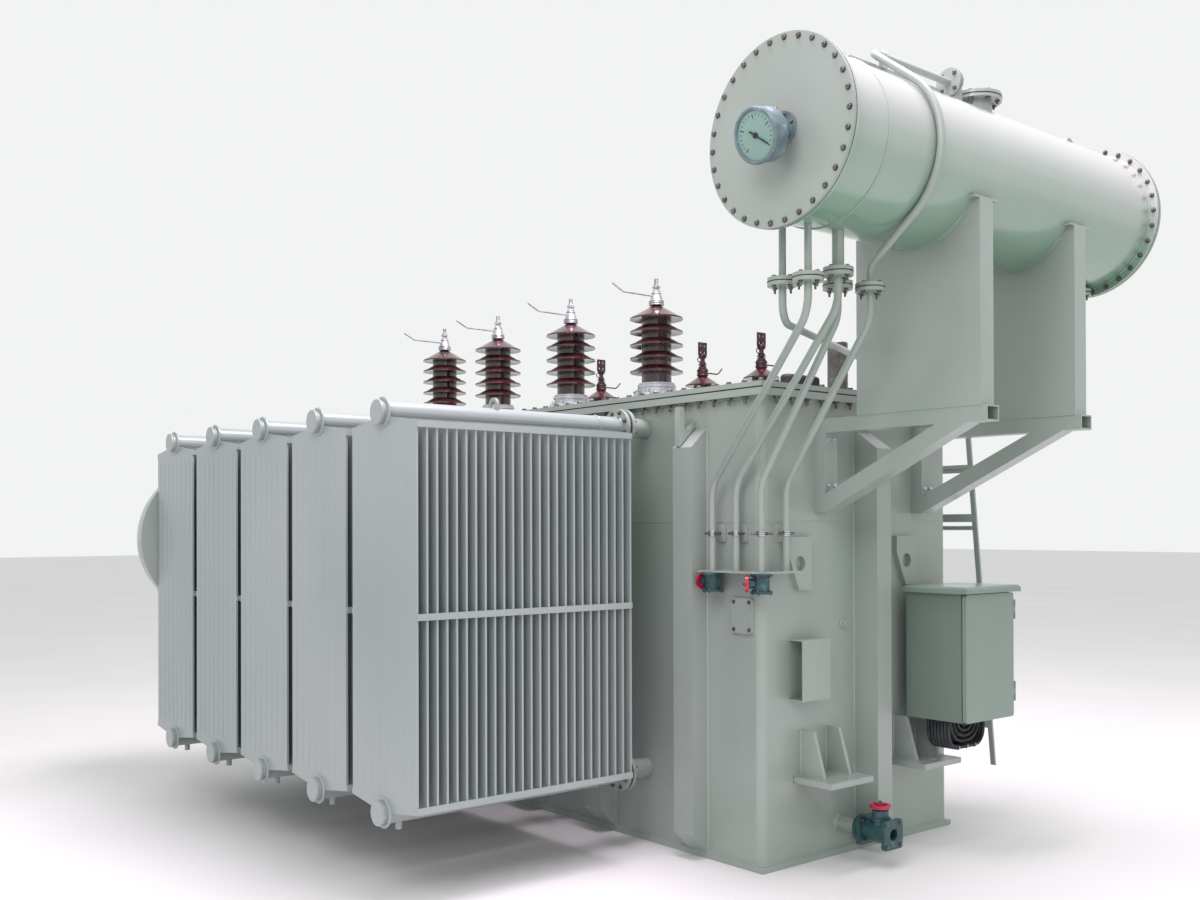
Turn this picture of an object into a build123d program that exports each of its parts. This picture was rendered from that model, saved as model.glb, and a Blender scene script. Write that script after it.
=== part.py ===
"""Oil filled power transformer with panel radiators and an end mounted conservator.

Millimetres, +Z up. The origin is at the middle of the base plate's underside. X runs along
the tank with the conservator at its +X end, and the radiators stand on the -Y side.
"""
import math
import os

from build123d import *

os.makedirs("parts", exist_ok=True)

# Tank
base_length = 3740
base_width = 1340
base_thickness = 25
plate_overhang = 10
rim_overhang = 40
corner_radius = 40
tank_height = 2073
rim_thickness = 30
gasket_thickness = 6
cover_thickness = 22
seat_slack = 0.3

# Wall stiffeners
stiffener_width = 120
stiffener_depth = 97
stiffener_taper = 90
stiffener_drop = 115
stiffener_inset = 382
end_stiffener_width = 100
end_stiffener_depth = 130

# Lifting lugs, each a hook plate with a notch for the sling
lug_thickness = 30
lug_reach = 100
lug_clearance = 6
lug_shift = 27
lug_tip = 30
lug_tip_drop = 25
lug_notch_floor = 30
lug_notch_drop = 120
lug_wall_drop = 80

# Jacking pads and pulling plates
pad_width = 280
pad_reach = 210
pad_thickness = 25
pad_level = 382
pad_inset = 335
pad_hole_radius = 22
pad_hole_inset = 52.5
gusset_height = 197
gusset_thickness = 18
gusset_foot_reach = 130
gusset_top_reach = 70
gusset_spread = 84
pull_plate_width = 150
pull_plate_height = 230
pull_plate_thickness = 25
pull_plate_drop = 772
pull_plate_insets = {"near": 218, "far": 352}
pull_slope_run = 68
pull_slope_rise = 150
pull_hole_radius = 32

# Sheet hood and four hole plate on the near end
hood_width = 180
hood_height = 262
hood_depth = 80
hood_sheet = 5
hood_inset = 258
hood_level = 845
blank_plate_width = 122
blank_plate_height = 152
blank_plate_thickness = 14
blank_plate_corner = 15
blank_plate_drop = 993
blank_plate_inset = 104

# Radiators
radiator_count = 5
radiator_margin = 141
panel_clearance = 58
fin_count = 25
fin_pitch = 44.5
fin_thickness = 9
fin_foot = 32
fin_shoulder = 48
fin_rise = 28
header_radius = 46
header_low = 338
header_drop = 97
header_stand_out = 23
header_cap_radius = 49
header_cap_thickness = 8
strap_width = 26
strap_thickness = 6
spacer_length = 60
radiator_gap = 312
eye_radius = 30
eye_hole_radius = 17
eye_height = 45
eye_thickness = 14
eye_setback = 560
plug_radius = 13
plug_length = 28
plug_setback = 90
valve_flange_radius = 85
valve_flange_thickness = 18
valve_flange_gap = 14

# High voltage bushings
hv_row = -330
hv_start = 840
hv_phase_pitch = 700
hv_neutral_pitch = 590
hv_flange_radius = 118
hv_flange_height = 34
hv_clamp_radius = 90
hv_seat = 108
hv_core_radius = 75
hv_shed_radius = 134
hv_first_rim = 56
hv_rim_pitch = 67.4
hv_rim_count = 5
hv_rim_thickness = 8
hv_shed_rise = 34
hv_hood_rise = 67
cap_radius = 34
cap_collar_height = 25
cap_neck_radius = 21
cap_height = 66
stud_radius = 10
stud_height = 137
horn_radius = 4
horn_level = 46
horn_length = 220
horn_bend = 30
horn_tip_length = 70
horn_tip_rise = 34

# Low voltage bushings
lv_row = 330
lv_start = 940
lv_pitch = 447
lv_count = 4
lv_flange_radius = 88
lv_seat = 22
lv_core_radius = 50
lv_shed_radius = 97
lv_first_rim = 38
lv_rim_pitch = 58
lv_rim_count = 3
lv_rim_thickness = 7
lv_shed_rise = 26
lv_hood_rise = 54
lv_cap_radius = 30
lv_cap_height = 38
lv_stem_radius = 13
lv_stem_height = 115
palm_width = 60
palm_height = 74
palm_thickness = 10
palm_hole_radius = 7
palm_hole_pitch_across = 28
palm_hole_pitch_up = 36
lv_horn_length = 120
lv_horn_level = 20

# Conservator
conservator_reach = 540
conservator_lift = 822
conservator_radius = 312
conservator_wall = 6
conservator_near = -1145
conservator_far = 1040
end_flange_radius = 349
end_flange_thickness = 16
end_cover_thickness = 16
gauge_offset = 31
gauge_drop = 2
gauge_flange_radius = 62
gauge_flange_thickness = 14
gauge_neck_radius = 36
gauge_reach = 145
gauge_dial_radius = 96
gauge_dial_depth = 62
gauge_dial_drop = 52
gauge_tilt = 15

# Fittings on top of the conservator
ridge_thickness = 10
ridge_height = 63
ridge_start = -738
ridge_end = -160
drum_eye_radius = 32
drum_eye_hole_radius = 16
drum_eye_height = 34
drum_eye_thickness = 16
drum_eye_places = [-790, 858]
hatch_place = 102
hatch_neck_radius = 70
hatch_neck_height = 60
hatch_radius = 110
hatch_disc_thickness = 15
vent_level = 108
vent_pipe_radius = 15
vent_bend = 55
vent_clearance = 3
vent_flange_place = -94
vent_flange_radius = 59
vent_flange_thickness = 13
vent_elbow_radius = 32
vent_elbow_bend = 40
vent_elbow_run = 46

# Conservator supports
saddle_places = {"near": -281, "far": 417}
saddle_width = 600
saddle_sheet = 10
saddle_flange_width = 90
saddle_drop = 155
saddle_pad_width = 150
saddle_pad_length = 90
saddle_pad_thickness = 8
arm_size = 62
arm_width = 84
arm_wall = 6
arm_pocket_depth = 120
arm_drop = 143
arm_overhang = 25
brace_drop = 345
brace_inset = 85
brace_heel = 18
brace_width = 90

# Pipes from the conservator: feet from the near tank corner, drops from its axis and near end
pipe_feet = {"a": (-232, 58), "b": (-103, 45), "c": (42, 45), "d": (43, -107)}
drop_shifts = {"a": 0, "b": 0, "c": -80, "d": 0, "e": -150}
drop_setbacks = {"a": 164, "b": 336, "c": 430, "d": 528, "e": 190}
drop_levels = {"a": 527, "b": 484, "c": 512, "d": 521, "e": 518}
far_stub_setback = 2085
far_stub_level = 355
pipe_radius = 15
pipe_bend = 140
pipe_neck = 110
pipe_bend_drop = 433
ledge_drop = 808
ledge_thickness = 8
ledge_reach = 95
ledge_side_run = 290
ledge_end_run = 140
ledge_chamfer = 60
drop_flange_radius = 58
drop_flange_thickness = 14
drop_flange_gap = 4
drop_neck_radius = 14
wide_neck_radius = 23
relay_neck = 136
relay_bend = 75
relay_end = (1776, 135)
relay_foot_radius = 54
relay_foot_thickness = 16

# Post and capsule on the cover
post_place = (1700, 35)
post_radius = 45
post_height = 245
post_flange_radius = 62
post_flange_thickness = 16
capsule_place = (1732, -265)
capsule_radius = 34
capsule_length = 230

# Valves
valve_turns = {"a": 90, "c": 45}
pipe_wheel_radius = 36
drain_wheel_radius = 46
wheel_rim = 7
wheel_hub_radius = 13
wheel_hub_length = 17
wheel_lift = 1
spoke_overlap = 2
stem_radius = 7
stem_slack = 0.3
stem_proud = 7
bonnet_length = 53
bonnet_radius = 20
valve_height = 84
valve_body_radius = 34
valve_plate_thickness = 10
valve_plate_radius = 47
drain_place = -165
drain_level = 140
drain_reach = 300
drain_pipe_radius = 30
drain_body_length = 140
drain_body_radius = 48
drain_flange_size = 125
drain_flange_thickness = 18
drain_flange_corner = 14
drain_flange_lap = 6
drain_joint_gap = 4
drain_bonnet_radius = 36
drain_bonnet_gap = 10
drain_wheel_height = 105
drain_stem_proud = 12
drain_bore_radius = 25
drain_bore_depth = 40

# Marshalling box
box_inset = 36
box_width = 384
box_stand_off = 70
box_depth = 296
box_low = 581
box_share = 0.6125
box_sheet = 4
box_mount_height = 40
box_mount_width = 190
box_mount_setback = 120
box_mount_inset = 115
door_sheet = 20
door_gap = 5
door_side_gap = 6
door_corner = 12
roof_overhang = 25
roof_thickness = 30
hinge_pin_radius = 5
hinge_slack = 0.3
hinge_play = 0.5
hinge_stand_off = 10
hinge_leaf = 5
hinge_leaf_reach = 30
hinge_inset = 99
knuckle_radius = 9
knuckle_height = 30

# Cables that loop under the box
cable_count = 7
cable_radius = 8
cable_pitch = 18
cable_setback = 110
cable_left_inset = 60
cable_right_inset = 50
cable_drop = 137
cable_bend = 70

# Ladder
ladder_drop = 23
ladder_foot = 250
ladder_lean = 0.125
ladder_stand_off = 120
ladder_overhang = 30
ladder_width = 400
stile_width = 25
stile_thickness = 12
rung_radius = 11
rung_pitch = 300
stay_foot_rise = 230
stay_top_drops = [530, 285]
stay_height = 40
stay_thickness = 8
stay_inset = 220

# Round cowl at the far end of the radiators
fan_radius = 425
fan_drop = 517
fan_setback = 738

# Derived places of the tank
tank_length = base_length - 2 * plate_overhang
tank_width = base_width - 2 * plate_overhang
end_wall = tank_length / 2
side_wall = tank_width / 2
cover_length = tank_length + 2 * rim_overhang
cover_width = tank_width + 2 * rim_overhang
cover_low = tank_height - cover_thickness
rim_high = cover_low - gasket_thickness
rim_low = rim_high - rim_thickness

# Derived places of the radiators, spread between the outer stiffeners
outer_stiffener = end_wall - stiffener_inset
stiffener_top = rim_low - stiffener_drop
radiator_pitch = (2 * outer_stiffener - radiator_margin) / radiator_count
fin_width = radiator_pitch - panel_clearance
radiator_places = [(i - (radiator_count - 1) / 2) * radiator_pitch for i in range(radiator_count)]
stiffener_places = [x + radiator_pitch / 2 for x in radiator_places[:-1]]
stiffener_places += [outer_stiffener, -outer_stiffener]
header_high = rim_low - header_drop
fin_low = header_low + fin_foot
fin_high = header_high - fin_shoulder
radiator_back = -side_wall - radiator_gap
radiator_front = radiator_back - (fin_count - 1) * fin_pitch

# Derived places of the bushings
hv_places = [hv_start - i * hv_phase_pitch for i in range(3)]
hv_places.append(hv_places[-1] - hv_neutral_pitch)
lv_places = [lv_start - i * lv_pitch for i in range(lv_count)]
hv_porcelain_height = hv_first_rim + (hv_rim_count - 1) * hv_rim_pitch + hv_hood_rise
lv_porcelain_height = lv_first_rim + (lv_rim_count - 1) * lv_rim_pitch + lv_hood_rise
hv_cap_level = tank_height + hv_seat + hv_porcelain_height
lv_cap_level = tank_height + lv_seat + lv_porcelain_height

# Derived places of the conservator and its supports
conservator_x = end_wall + conservator_reach
conservator_z = tank_height + conservator_lift
drum_crown = conservator_z + conservator_radius
shell_near = conservator_near + end_cover_thickness
shell_far = conservator_far - end_cover_thickness
saddle_inner = conservator_x - saddle_width / 2
saddle_outer = conservator_x + saddle_width / 2
saddle_top = conservator_z - saddle_drop
arm_top = tank_height - arm_drop
arm_end = saddle_outer + arm_overhang
brace_low = arm_top - brace_drop
brace_out = arm_end - brace_inset

# Derived places of the pipes
ledge_level = tank_height - ledge_drop
pipe_bend_level = tank_height - pipe_bend_drop
drop_places = {
    run: (conservator_x + shift, conservator_near + drop_setbacks[run])
    for run, shift in drop_shifts.items()
}
drop_flange_height = 2 * drop_flange_thickness + drop_flange_gap


def keep(piece, name):
    """Label a finished piece and write it to its own file."""
    piece.label = name
    export_step(piece, f"parts/{name}.step")


def upright(x, y):
    """Upright plane across Y at a place, its own X along +X and its own Y along +Z."""
    return Plane(origin=(x, y, 0), x_dir=(1, 0, 0), z_dir=(0, -1, 0))


def pipe_foot(run):
    """Place of a pipe's foot, set off from the near tank corner along the wall and outwards."""
    along, outwards = pipe_feet[run]
    return end_wall + along, -side_wall - outwards


# Base plate
with BuildPart() as base_plate:
    with BuildSketch():
        Rectangle(base_length, base_width)
    extrude(amount=base_thickness)
keep(base_plate.part, "base_plate")

# Tank body, closed and filled with core, windings and oil
with BuildPart() as tank_body:
    with BuildSketch(Plane.XY.offset(base_thickness)):
        RectangleRounded(tank_length, tank_width, corner_radius)
    extrude(amount=cover_low - base_thickness)
keep(tank_body.part, "tank_body")

# Bolting rim round the top of the tank
with BuildPart() as tank_rim:
    with BuildSketch(Plane.XY.offset(rim_low)):
        Rectangle(cover_length, cover_width)
        RectangleRounded(tank_length, tank_width, corner_radius, mode=Mode.SUBTRACT)
    extrude(amount=rim_thickness)
keep(tank_rim.part, "tank_rim")

with BuildPart() as cover_gasket:
    with BuildSketch(Plane.XY.offset(rim_high)):
        Rectangle(cover_length - gasket_thickness, cover_width - gasket_thickness)
        RectangleRounded(tank_length, tank_width, corner_radius, mode=Mode.SUBTRACT)
    extrude(amount=gasket_thickness)
keep(cover_gasket.part, "cover_gasket")

with BuildPart() as cover:
    with BuildSketch(Plane.XY.offset(cover_low)):
        Rectangle(cover_length, cover_width)
    extrude(amount=cover_thickness)
keep(cover.part, "cover")

# Box stiffeners with tapered tops, in pairs on the long sides and one on each end
with BuildPart() as wall_stiffeners:
    for side in (1, -1):
        for x in stiffener_places:
            with BuildSketch(Plane.YZ.offset(x - stiffener_width / 2)):
                with BuildLine():
                    Polyline(
                        (side * side_wall, base_thickness),
                        (side * (side_wall + plate_overhang), base_thickness),
                        (side * (side_wall + stiffener_depth), base_thickness + stiffener_taper),
                        (side * (side_wall + stiffener_depth), stiffener_top - stiffener_taper),
                        (side * side_wall, stiffener_top),
                        close=True,
                    )
                make_face()
            extrude(amount=stiffener_width)
    for end in (1, -1):
        with BuildSketch(Plane.XZ.offset(-end_stiffener_width / 2)):
            with BuildLine():
                Polyline(
                    (end * end_wall, base_thickness),
                    (end * (end_wall + plate_overhang), base_thickness),
                    (end * (end_wall + end_stiffener_depth), base_thickness + stiffener_taper),
                    (end * (end_wall + end_stiffener_depth), stiffener_top - stiffener_taper),
                    (end * end_wall, stiffener_top),
                    close=True,
                )
            make_face()
        extrude(amount=end_stiffener_width)
keep(wall_stiffeners.part, "wall_stiffeners")

# Lifting lugs under the rim, each with a hook notch and a foot along the stiffener's slope
lug_place = outer_stiffener - lug_shift
lug_front = side_wall + lug_reach
lug_foot = stiffener_top + lug_clearance
with BuildPart() as lifting_lugs:
    for side in (1, -1):
        for x in (lug_place, -lug_place):
            with BuildSketch(Plane.YZ.offset(x - lug_thickness / 2)):
                with BuildLine():
                    Polyline(
                        (side * side_wall, lug_foot),
                        (side * (side_wall + stiffener_depth), lug_foot - stiffener_taper),
                        (side * lug_front, lug_foot - stiffener_taper),
                        (side * lug_front, rim_low - lug_tip_drop),
                        (side * (lug_front - lug_tip), rim_low - lug_tip_drop),
                        (side * (lug_front - lug_tip), rim_low - lug_notch_drop),
                        (side * (lug_front - lug_tip - lug_notch_floor), rim_low - lug_notch_drop),
                        (side * side_wall, rim_low - lug_wall_drop),
                        close=True,
                    )
                make_face()
            extrude(amount=lug_thickness)
keep(lifting_lugs.part, "lifting_lugs")

# Jacking pads, a holed plate under two sloping gussets
pad_place = side_wall - pad_inset
gusset_foot = pad_level + seat_slack
with BuildPart() as jacking_pads:
    for end in (1, -1):
        for y in (pad_place, -pad_place):
            with BuildSketch(Plane.XY.offset(pad_level - pad_thickness)):
                with Locations((end * (end_wall + pad_reach / 2), y)):
                    Rectangle(pad_reach, pad_width)
                with Locations((end * (end_wall + pad_reach - pad_hole_inset), y)):
                    Circle(pad_hole_radius, mode=Mode.SUBTRACT)
            extrude(amount=pad_thickness)
            for shift in (-gusset_spread, gusset_spread):
                with BuildSketch(Plane.XZ.offset(-y - shift - gusset_thickness / 2)):
                    with BuildLine():
                        Polyline(
                            (end * end_wall, gusset_foot),
                            (end * (end_wall + gusset_foot_reach), gusset_foot),
                            (end * (end_wall + gusset_top_reach), pad_level + gusset_height),
                            (end * end_wall, pad_level + gusset_height),
                            close=True,
                        )
                    make_face()
                extrude(amount=gusset_thickness)
keep(jacking_pads.part, "jacking_pads")

# Pulling plates with an eye, sloped at the lower corner towards the radiators
pull_plate_places = (pull_plate_insets["near"] - side_wall, side_wall - pull_plate_insets["far"])
pull_plate_level = tank_height - pull_plate_drop
pull_plate_low = pull_plate_level - pull_plate_height / 2
pull_plate_high = pull_plate_level + pull_plate_height / 2
with BuildPart() as pulling_plates:
    for start in (end_wall, -end_wall - pull_plate_thickness):
        for y in pull_plate_places:
            left = y - pull_plate_width / 2
            right = y + pull_plate_width / 2
            with BuildSketch(Plane.YZ.offset(start)):
                with BuildLine():
                    Polyline(
                        (left + pull_slope_run, pull_plate_low),
                        (right, pull_plate_low),
                        (right, pull_plate_high),
                        (left, pull_plate_high),
                        (left, pull_plate_low + pull_slope_rise),
                        close=True,
                    )
                make_face()
                with Locations((y, pull_plate_level)):
                    Circle(pull_hole_radius, mode=Mode.SUBTRACT)
            extrude(amount=pull_plate_thickness)
keep(pulling_plates.part, "pulling_plates")

# Bent sheet hood, open at its two sides
hood_place = hood_inset - side_wall
with BuildPart() as sheet_hood:
    with BuildSketch(Plane.XZ.offset(-hood_place - hood_width / 2)):
        with Locations((end_wall + hood_depth / 2, hood_level)):
            Rectangle(hood_depth, hood_height)
        with Locations((end_wall + (hood_depth - hood_sheet) / 2, hood_level)):
            Rectangle(hood_depth - hood_sheet, hood_height - 2 * hood_sheet, mode=Mode.SUBTRACT)
    extrude(amount=hood_width)
keep(sheet_hood.part, "sheet_hood")

# Blank plate on the long wall beside the near corner
with BuildPart() as blank_plate:
    with BuildSketch(upright(end_wall - blank_plate_inset, -side_wall)):
        with Locations((0, tank_height - blank_plate_drop)):
            RectangleRounded(blank_plate_width, blank_plate_height, blank_plate_corner)
    extrude(amount=blank_plate_thickness)
keep(blank_plate.part, "blank_plate")


def fin_outline():
    """Closed outline of one radiator panel, notched for its two header pipes."""
    notch = header_radius + seat_slack
    half = fin_width / 2
    Polyline(
        (-half, fin_low),
        (-half, fin_high),
        (-notch, fin_high + fin_rise),
        (-notch, header_high - notch),
        (notch, header_high - notch),
        (notch, fin_high + fin_rise),
        (half, fin_high),
        (half, fin_low),
        (notch, fin_low - fin_rise),
        (notch, header_low + notch),
        (-notch, header_low + notch),
        (-notch, fin_low - fin_rise),
        close=True,
    )


# Panel radiators, each a pack of panels on two header pipes with flat straps along its sides,
# a lifting eye on the upper header and a drain plug under the lower one
pack_depth = (fin_count - 1) * fin_pitch + fin_thickness
pack_middle = (radiator_back + radiator_front) / 2
header_start = radiator_front - fin_thickness / 2 - header_stand_out
header_end = -side_wall - radiator_gap / 2 - valve_flange_gap / 2 - valve_flange_thickness
fin_faces = [radiator_back - i * fin_pitch + fin_thickness / 2 for i in range(fin_count)]
strap_shift = fin_width / 2 + seat_slack + strap_thickness / 2
strap_face = strap_shift + strap_thickness / 2
strap_lows = [fin_low, (fin_low + fin_high - strap_width) / 2, fin_high - strap_width]
spacer_reach = radiator_pitch - 2 * strap_face - seat_slack
eye_centre = header_high + header_radius + eye_height - eye_radius
for number, x in enumerate(radiator_places, start=1):
    with BuildPart() as radiator:
        with BuildSketch(*[upright(x, y) for y in fin_faces]):
            with BuildLine():
                fin_outline()
            make_face()
        extrude(amount=fin_thickness)
        with BuildSketch(upright(x, header_end)):
            with Locations((0, header_low), (0, header_high)):
                Circle(header_radius)
        extrude(amount=header_end - header_start)
        with BuildSketch(upright(x, header_start)):
            with Locations((0, header_low), (0, header_high)):
                Circle(header_cap_radius)
        extrude(amount=header_cap_thickness)
        with BuildSketch(upright(x, header_start + eye_setback)):
            with Locations((0, eye_centre)):
                Circle(eye_radius)
            with Locations((0, (eye_centre + header_high) / 2)):
                Rectangle(2 * eye_radius, eye_centre - header_high)
            with Locations((0, eye_centre)):
                Circle(eye_hole_radius, mode=Mode.SUBTRACT)
        extrude(amount=eye_thickness)
        with BuildSketch(Plane.XY.offset(header_low)):
            with Locations((x, header_start + plug_setback)):
                Circle(plug_radius)
        extrude(amount=-header_radius - plug_length)
        with BuildSketch(*[Plane.XY.offset(low) for low in strap_lows]):
            for side in (1, -1):
                with Locations((x + side * strap_shift, pack_middle)):
                    Rectangle(strap_thickness, pack_depth)
        extrude(amount=strap_width)
        if number < radiator_count:
            with BuildSketch(Plane.XY.offset(strap_lows[1])):
                for y in (radiator_front + spacer_length, radiator_back - spacer_length):
                    with Locations((x + strap_face + spacer_reach / 2, y)):
                        Rectangle(spacer_reach, spacer_length)
            extrude(amount=strap_width)
    keep(radiator.part, f"radiator_{number}")

# Shut off flange pairs and stubs between the headers and the tank wall
stub_end = header_end + valve_flange_thickness + valve_flange_gap
with BuildPart() as radiator_valves:
    for start, radius, length in (
        (header_end + valve_flange_thickness, valve_flange_radius, valve_flange_thickness),
        (stub_end, header_radius, valve_flange_gap),
        (stub_end + valve_flange_thickness, valve_flange_radius, valve_flange_thickness),
        (-side_wall, header_radius, -side_wall - stub_end - valve_flange_thickness),
    ):
        with BuildSketch(Plane.XZ.offset(-start)):
            for x in radiator_places:
                with Locations((x, header_low), (x, header_high)):
                    Circle(radius)
        extrude(amount=length)
keep(radiator_valves.part, "radiator_valves")


def porcelain_outline(core, shed, first_rim, pitch, count, rim, rise, height):
    """Half section of a porcelain: sheds at a pitch, the last one drawn up to the cap as a hood."""
    points = [(0, 0), (core, 0)]
    for i in range(count):
        level = first_rim + i * pitch
        points += [(core, level), (shed, level - rim / 2), (shed, level + rim / 2)]
        if i < count - 1:
            points.append((core, level + rise))
    points += [(cap_neck_radius, height), (0, height)]
    return points


def turned(outline, x, y, level):
    """Solid of revolution from a half section, standing on a level."""
    with BuildPart() as piece:
        with BuildSketch(upright(x, y)):
            with BuildLine():
                Polyline(*[(radius, level + height) for radius, height in outline], close=True)
            make_face()
        revolve(axis=Axis((x, y, 0), (0, 0, 1)))
    return piece.part


# Flanges and clamp rings that hold the bushings on the cover
hv_flange_outline = [
    (0, 0),
    (hv_flange_radius, 0),
    (hv_flange_radius, hv_flange_height),
    (hv_clamp_radius, hv_flange_height),
    (hv_clamp_radius, hv_seat),
    (0, hv_seat),
]
lv_flange_outline = [(0, 0), (lv_flange_radius, 0), (lv_flange_radius, lv_seat), (0, lv_seat)]
flange_solids = [turned(hv_flange_outline, x, hv_row, tank_height) for x in hv_places]
flange_solids += [turned(lv_flange_outline, x, lv_row, tank_height) for x in lv_places]
keep(Compound(children=flange_solids), "bushing_flanges")

# High voltage porcelains
hv_outline = porcelain_outline(
    hv_core_radius, hv_shed_radius, hv_first_rim, hv_rim_pitch, hv_rim_count,
    hv_rim_thickness, hv_shed_rise, hv_porcelain_height,
)
for number, x in enumerate(hv_places, start=1):
    keep(turned(hv_outline, x, hv_row, tank_height + hv_seat), f"hv_bushing_{number}")

# Low voltage porcelains
lv_outline = porcelain_outline(
    lv_core_radius, lv_shed_radius, lv_first_rim, lv_rim_pitch, lv_rim_count,
    lv_rim_thickness, lv_shed_rise, lv_porcelain_height,
)
lv_solids = [turned(lv_outline, x, lv_row, tank_height + lv_seat) for x in lv_places]
keep(Compound(children=lv_solids), "lv_bushings")

# High voltage caps, each with its stud and an arcing horn
cap_outline = [
    (0, 0),
    (cap_radius, 0),
    (cap_radius, cap_collar_height),
    (cap_neck_radius, cap_height),
    (stud_radius, cap_height),
    (stud_radius, stud_height),
    (0, stud_height),
]
with BuildPart() as hv_terminals:
    for x in hv_places:
        with BuildSketch(upright(x, hv_row)):
            with BuildLine():
                Polyline(*[(radius, hv_cap_level + height) for radius, height in cap_outline], close=True)
            make_face()
        revolve(axis=Axis((x, hv_row, 0), (0, 0, 1)))
        horn_z = hv_cap_level + horn_level
        horn_y = hv_row - horn_length
        with BuildLine() as horn:
            FilletPolyline(
                (x, hv_row, horn_z),
                (x, horn_y, horn_z),
                (x, horn_y - horn_tip_length, horn_z + horn_tip_rise),
                radius=horn_bend,
            )
        with BuildSketch(Plane(origin=(x, hv_row, horn_z), z_dir=(0, -1, 0))):
            Circle(horn_radius)
        sweep(path=horn.wires()[0])
keep(hv_terminals.part, "hv_terminals")

# Low voltage caps, each with a stem, a four hole palm and an arcing horn
stem_top = lv_cap_level + lv_stem_height
palm_middle = stem_top + palm_height / 2
with BuildPart() as lv_terminals:
    for x in lv_places:
        with BuildSketch(Plane.XY.offset(lv_cap_level)):
            with Locations((x, lv_row)):
                Circle(lv_cap_radius)
        extrude(amount=lv_cap_height)
        with BuildSketch(Plane.XY.offset(lv_cap_level + lv_cap_height)):
            with Locations((x, lv_row)):
                Circle(lv_stem_radius)
        extrude(amount=lv_stem_height - lv_cap_height)
        with BuildSketch(Plane.YZ.offset(x - palm_thickness / 2)):
            with Locations((lv_row, palm_middle)):
                Rectangle(palm_width, palm_height)
                with GridLocations(palm_hole_pitch_across, palm_hole_pitch_up, 2, 2):
                    Circle(palm_hole_radius, mode=Mode.SUBTRACT)
        extrude(amount=palm_thickness)
        horn_z = lv_cap_level + lv_horn_level
        horn_y = lv_row + lv_horn_length
        with BuildLine() as horn:
            FilletPolyline(
                (x, lv_row, horn_z),
                (x, horn_y, horn_z),
                (x, horn_y + horn_tip_rise, horn_z + horn_tip_rise),
                radius=horn_bend,
            )
        with BuildSketch(Plane(origin=(x, lv_row, horn_z), z_dir=(0, 1, 0))):
            Circle(horn_radius)
        sweep(path=horn.wires()[0])
keep(lv_terminals.part, "lv_terminals")

# Conservator drum with its end flanges
with BuildPart() as conservator_shell:
    with BuildSketch(Plane.XZ.offset(-shell_far)):
        with Locations((conservator_x, conservator_z)):
            Circle(conservator_radius)
            Circle(conservator_radius - conservator_wall, mode=Mode.SUBTRACT)
    extrude(amount=shell_far - shell_near)
    for edge in (shell_far, shell_near + end_flange_thickness):
        with BuildSketch(Plane.XZ.offset(-edge)):
            with Locations((conservator_x, conservator_z)):
                Circle(end_flange_radius)
                Circle(conservator_radius, mode=Mode.SUBTRACT)
        extrude(amount=end_flange_thickness)
keep(conservator_shell.part, "conservator_shell")

for name, edge in (("near", shell_near), ("far", conservator_far)):
    with BuildPart() as end_cover:
        with BuildSketch(Plane.XZ.offset(-edge)):
            with Locations((conservator_x, conservator_z)):
                Circle(end_flange_radius)
        extrude(amount=end_cover_thickness)
    keep(end_cover.part, f"conservator_{name}_cover")

# Magnetic oil gauge on the near cover, its dial tipped down towards the ground
gauge_x = conservator_x + gauge_offset
gauge_z = conservator_z - gauge_drop
tilt = math.radians(gauge_tilt)
dial_plane = Plane(
    origin=(gauge_x, conservator_near - gauge_reach, gauge_z - gauge_dial_drop),
    x_dir=(1, 0, 0),
    z_dir=(0, -math.cos(tilt), -math.sin(tilt)),
)
with BuildPart() as oil_gauge:
    for radius, length in (
        (gauge_flange_radius, gauge_flange_thickness),
        (gauge_neck_radius, gauge_reach - gauge_dial_depth / 2),
    ):
        with BuildSketch(upright(gauge_x, conservator_near)):
            with Locations((0, gauge_z)):
                Circle(radius)
        extrude(amount=length)
    with BuildSketch(dial_plane):
        Circle(gauge_dial_radius)
    extrude(amount=-gauge_dial_depth)
keep(oil_gauge.part, "oil_gauge")

# Ridge bar, lifting eyes and a blanked hatch on the drum's crown
with BuildPart() as drum_fittings:
    with BuildSketch(Plane.YZ.offset(conservator_x - ridge_thickness / 2)):
        with Locations(((ridge_start + ridge_end) / 2, conservator_z + (conservator_radius + ridge_height) / 2)):
            Rectangle(ridge_end - ridge_start, conservator_radius + ridge_height)
    extrude(amount=ridge_thickness)
    with BuildSketch(Plane.YZ.offset(conservator_x - drum_eye_thickness / 2)):
        for y in drum_eye_places:
            with Locations((y, drum_crown + drum_eye_height)):
                Circle(drum_eye_radius)
            with Locations((y, (conservator_z + drum_crown + drum_eye_height) / 2)):
                Rectangle(2 * drum_eye_radius, conservator_radius + drum_eye_height)
            with Locations((y, drum_crown + drum_eye_height)):
                Circle(drum_eye_hole_radius, mode=Mode.SUBTRACT)
    extrude(amount=drum_eye_thickness)
    with BuildSketch(Plane.XY.offset(conservator_z)):
        with Locations((conservator_x, hatch_place)):
            Circle(hatch_neck_radius)
    extrude(amount=conservator_radius + hatch_neck_height)
    with BuildSketch(Plane.XY.offset(drum_crown + hatch_neck_height)):
        with Locations((conservator_x, hatch_place)):
            Circle(hatch_radius)
    extrude(amount=2 * hatch_disc_thickness)
    with BuildSketch(Plane.XZ.offset(-shell_far)):
        with Locations((conservator_x, conservator_z)):
            Circle(conservator_radius)
    extrude(amount=shell_far - shell_near, mode=Mode.SUBTRACT)
keep(drum_fittings.part, "drum_fittings")


def drum_point(angle, reach):
    """Place round the drum in its own cross section, with the angle from the crown in degrees."""
    turn = math.radians(angle)
    return conservator_x + reach * math.sin(turn), conservator_z + reach * math.cos(turn)


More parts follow.
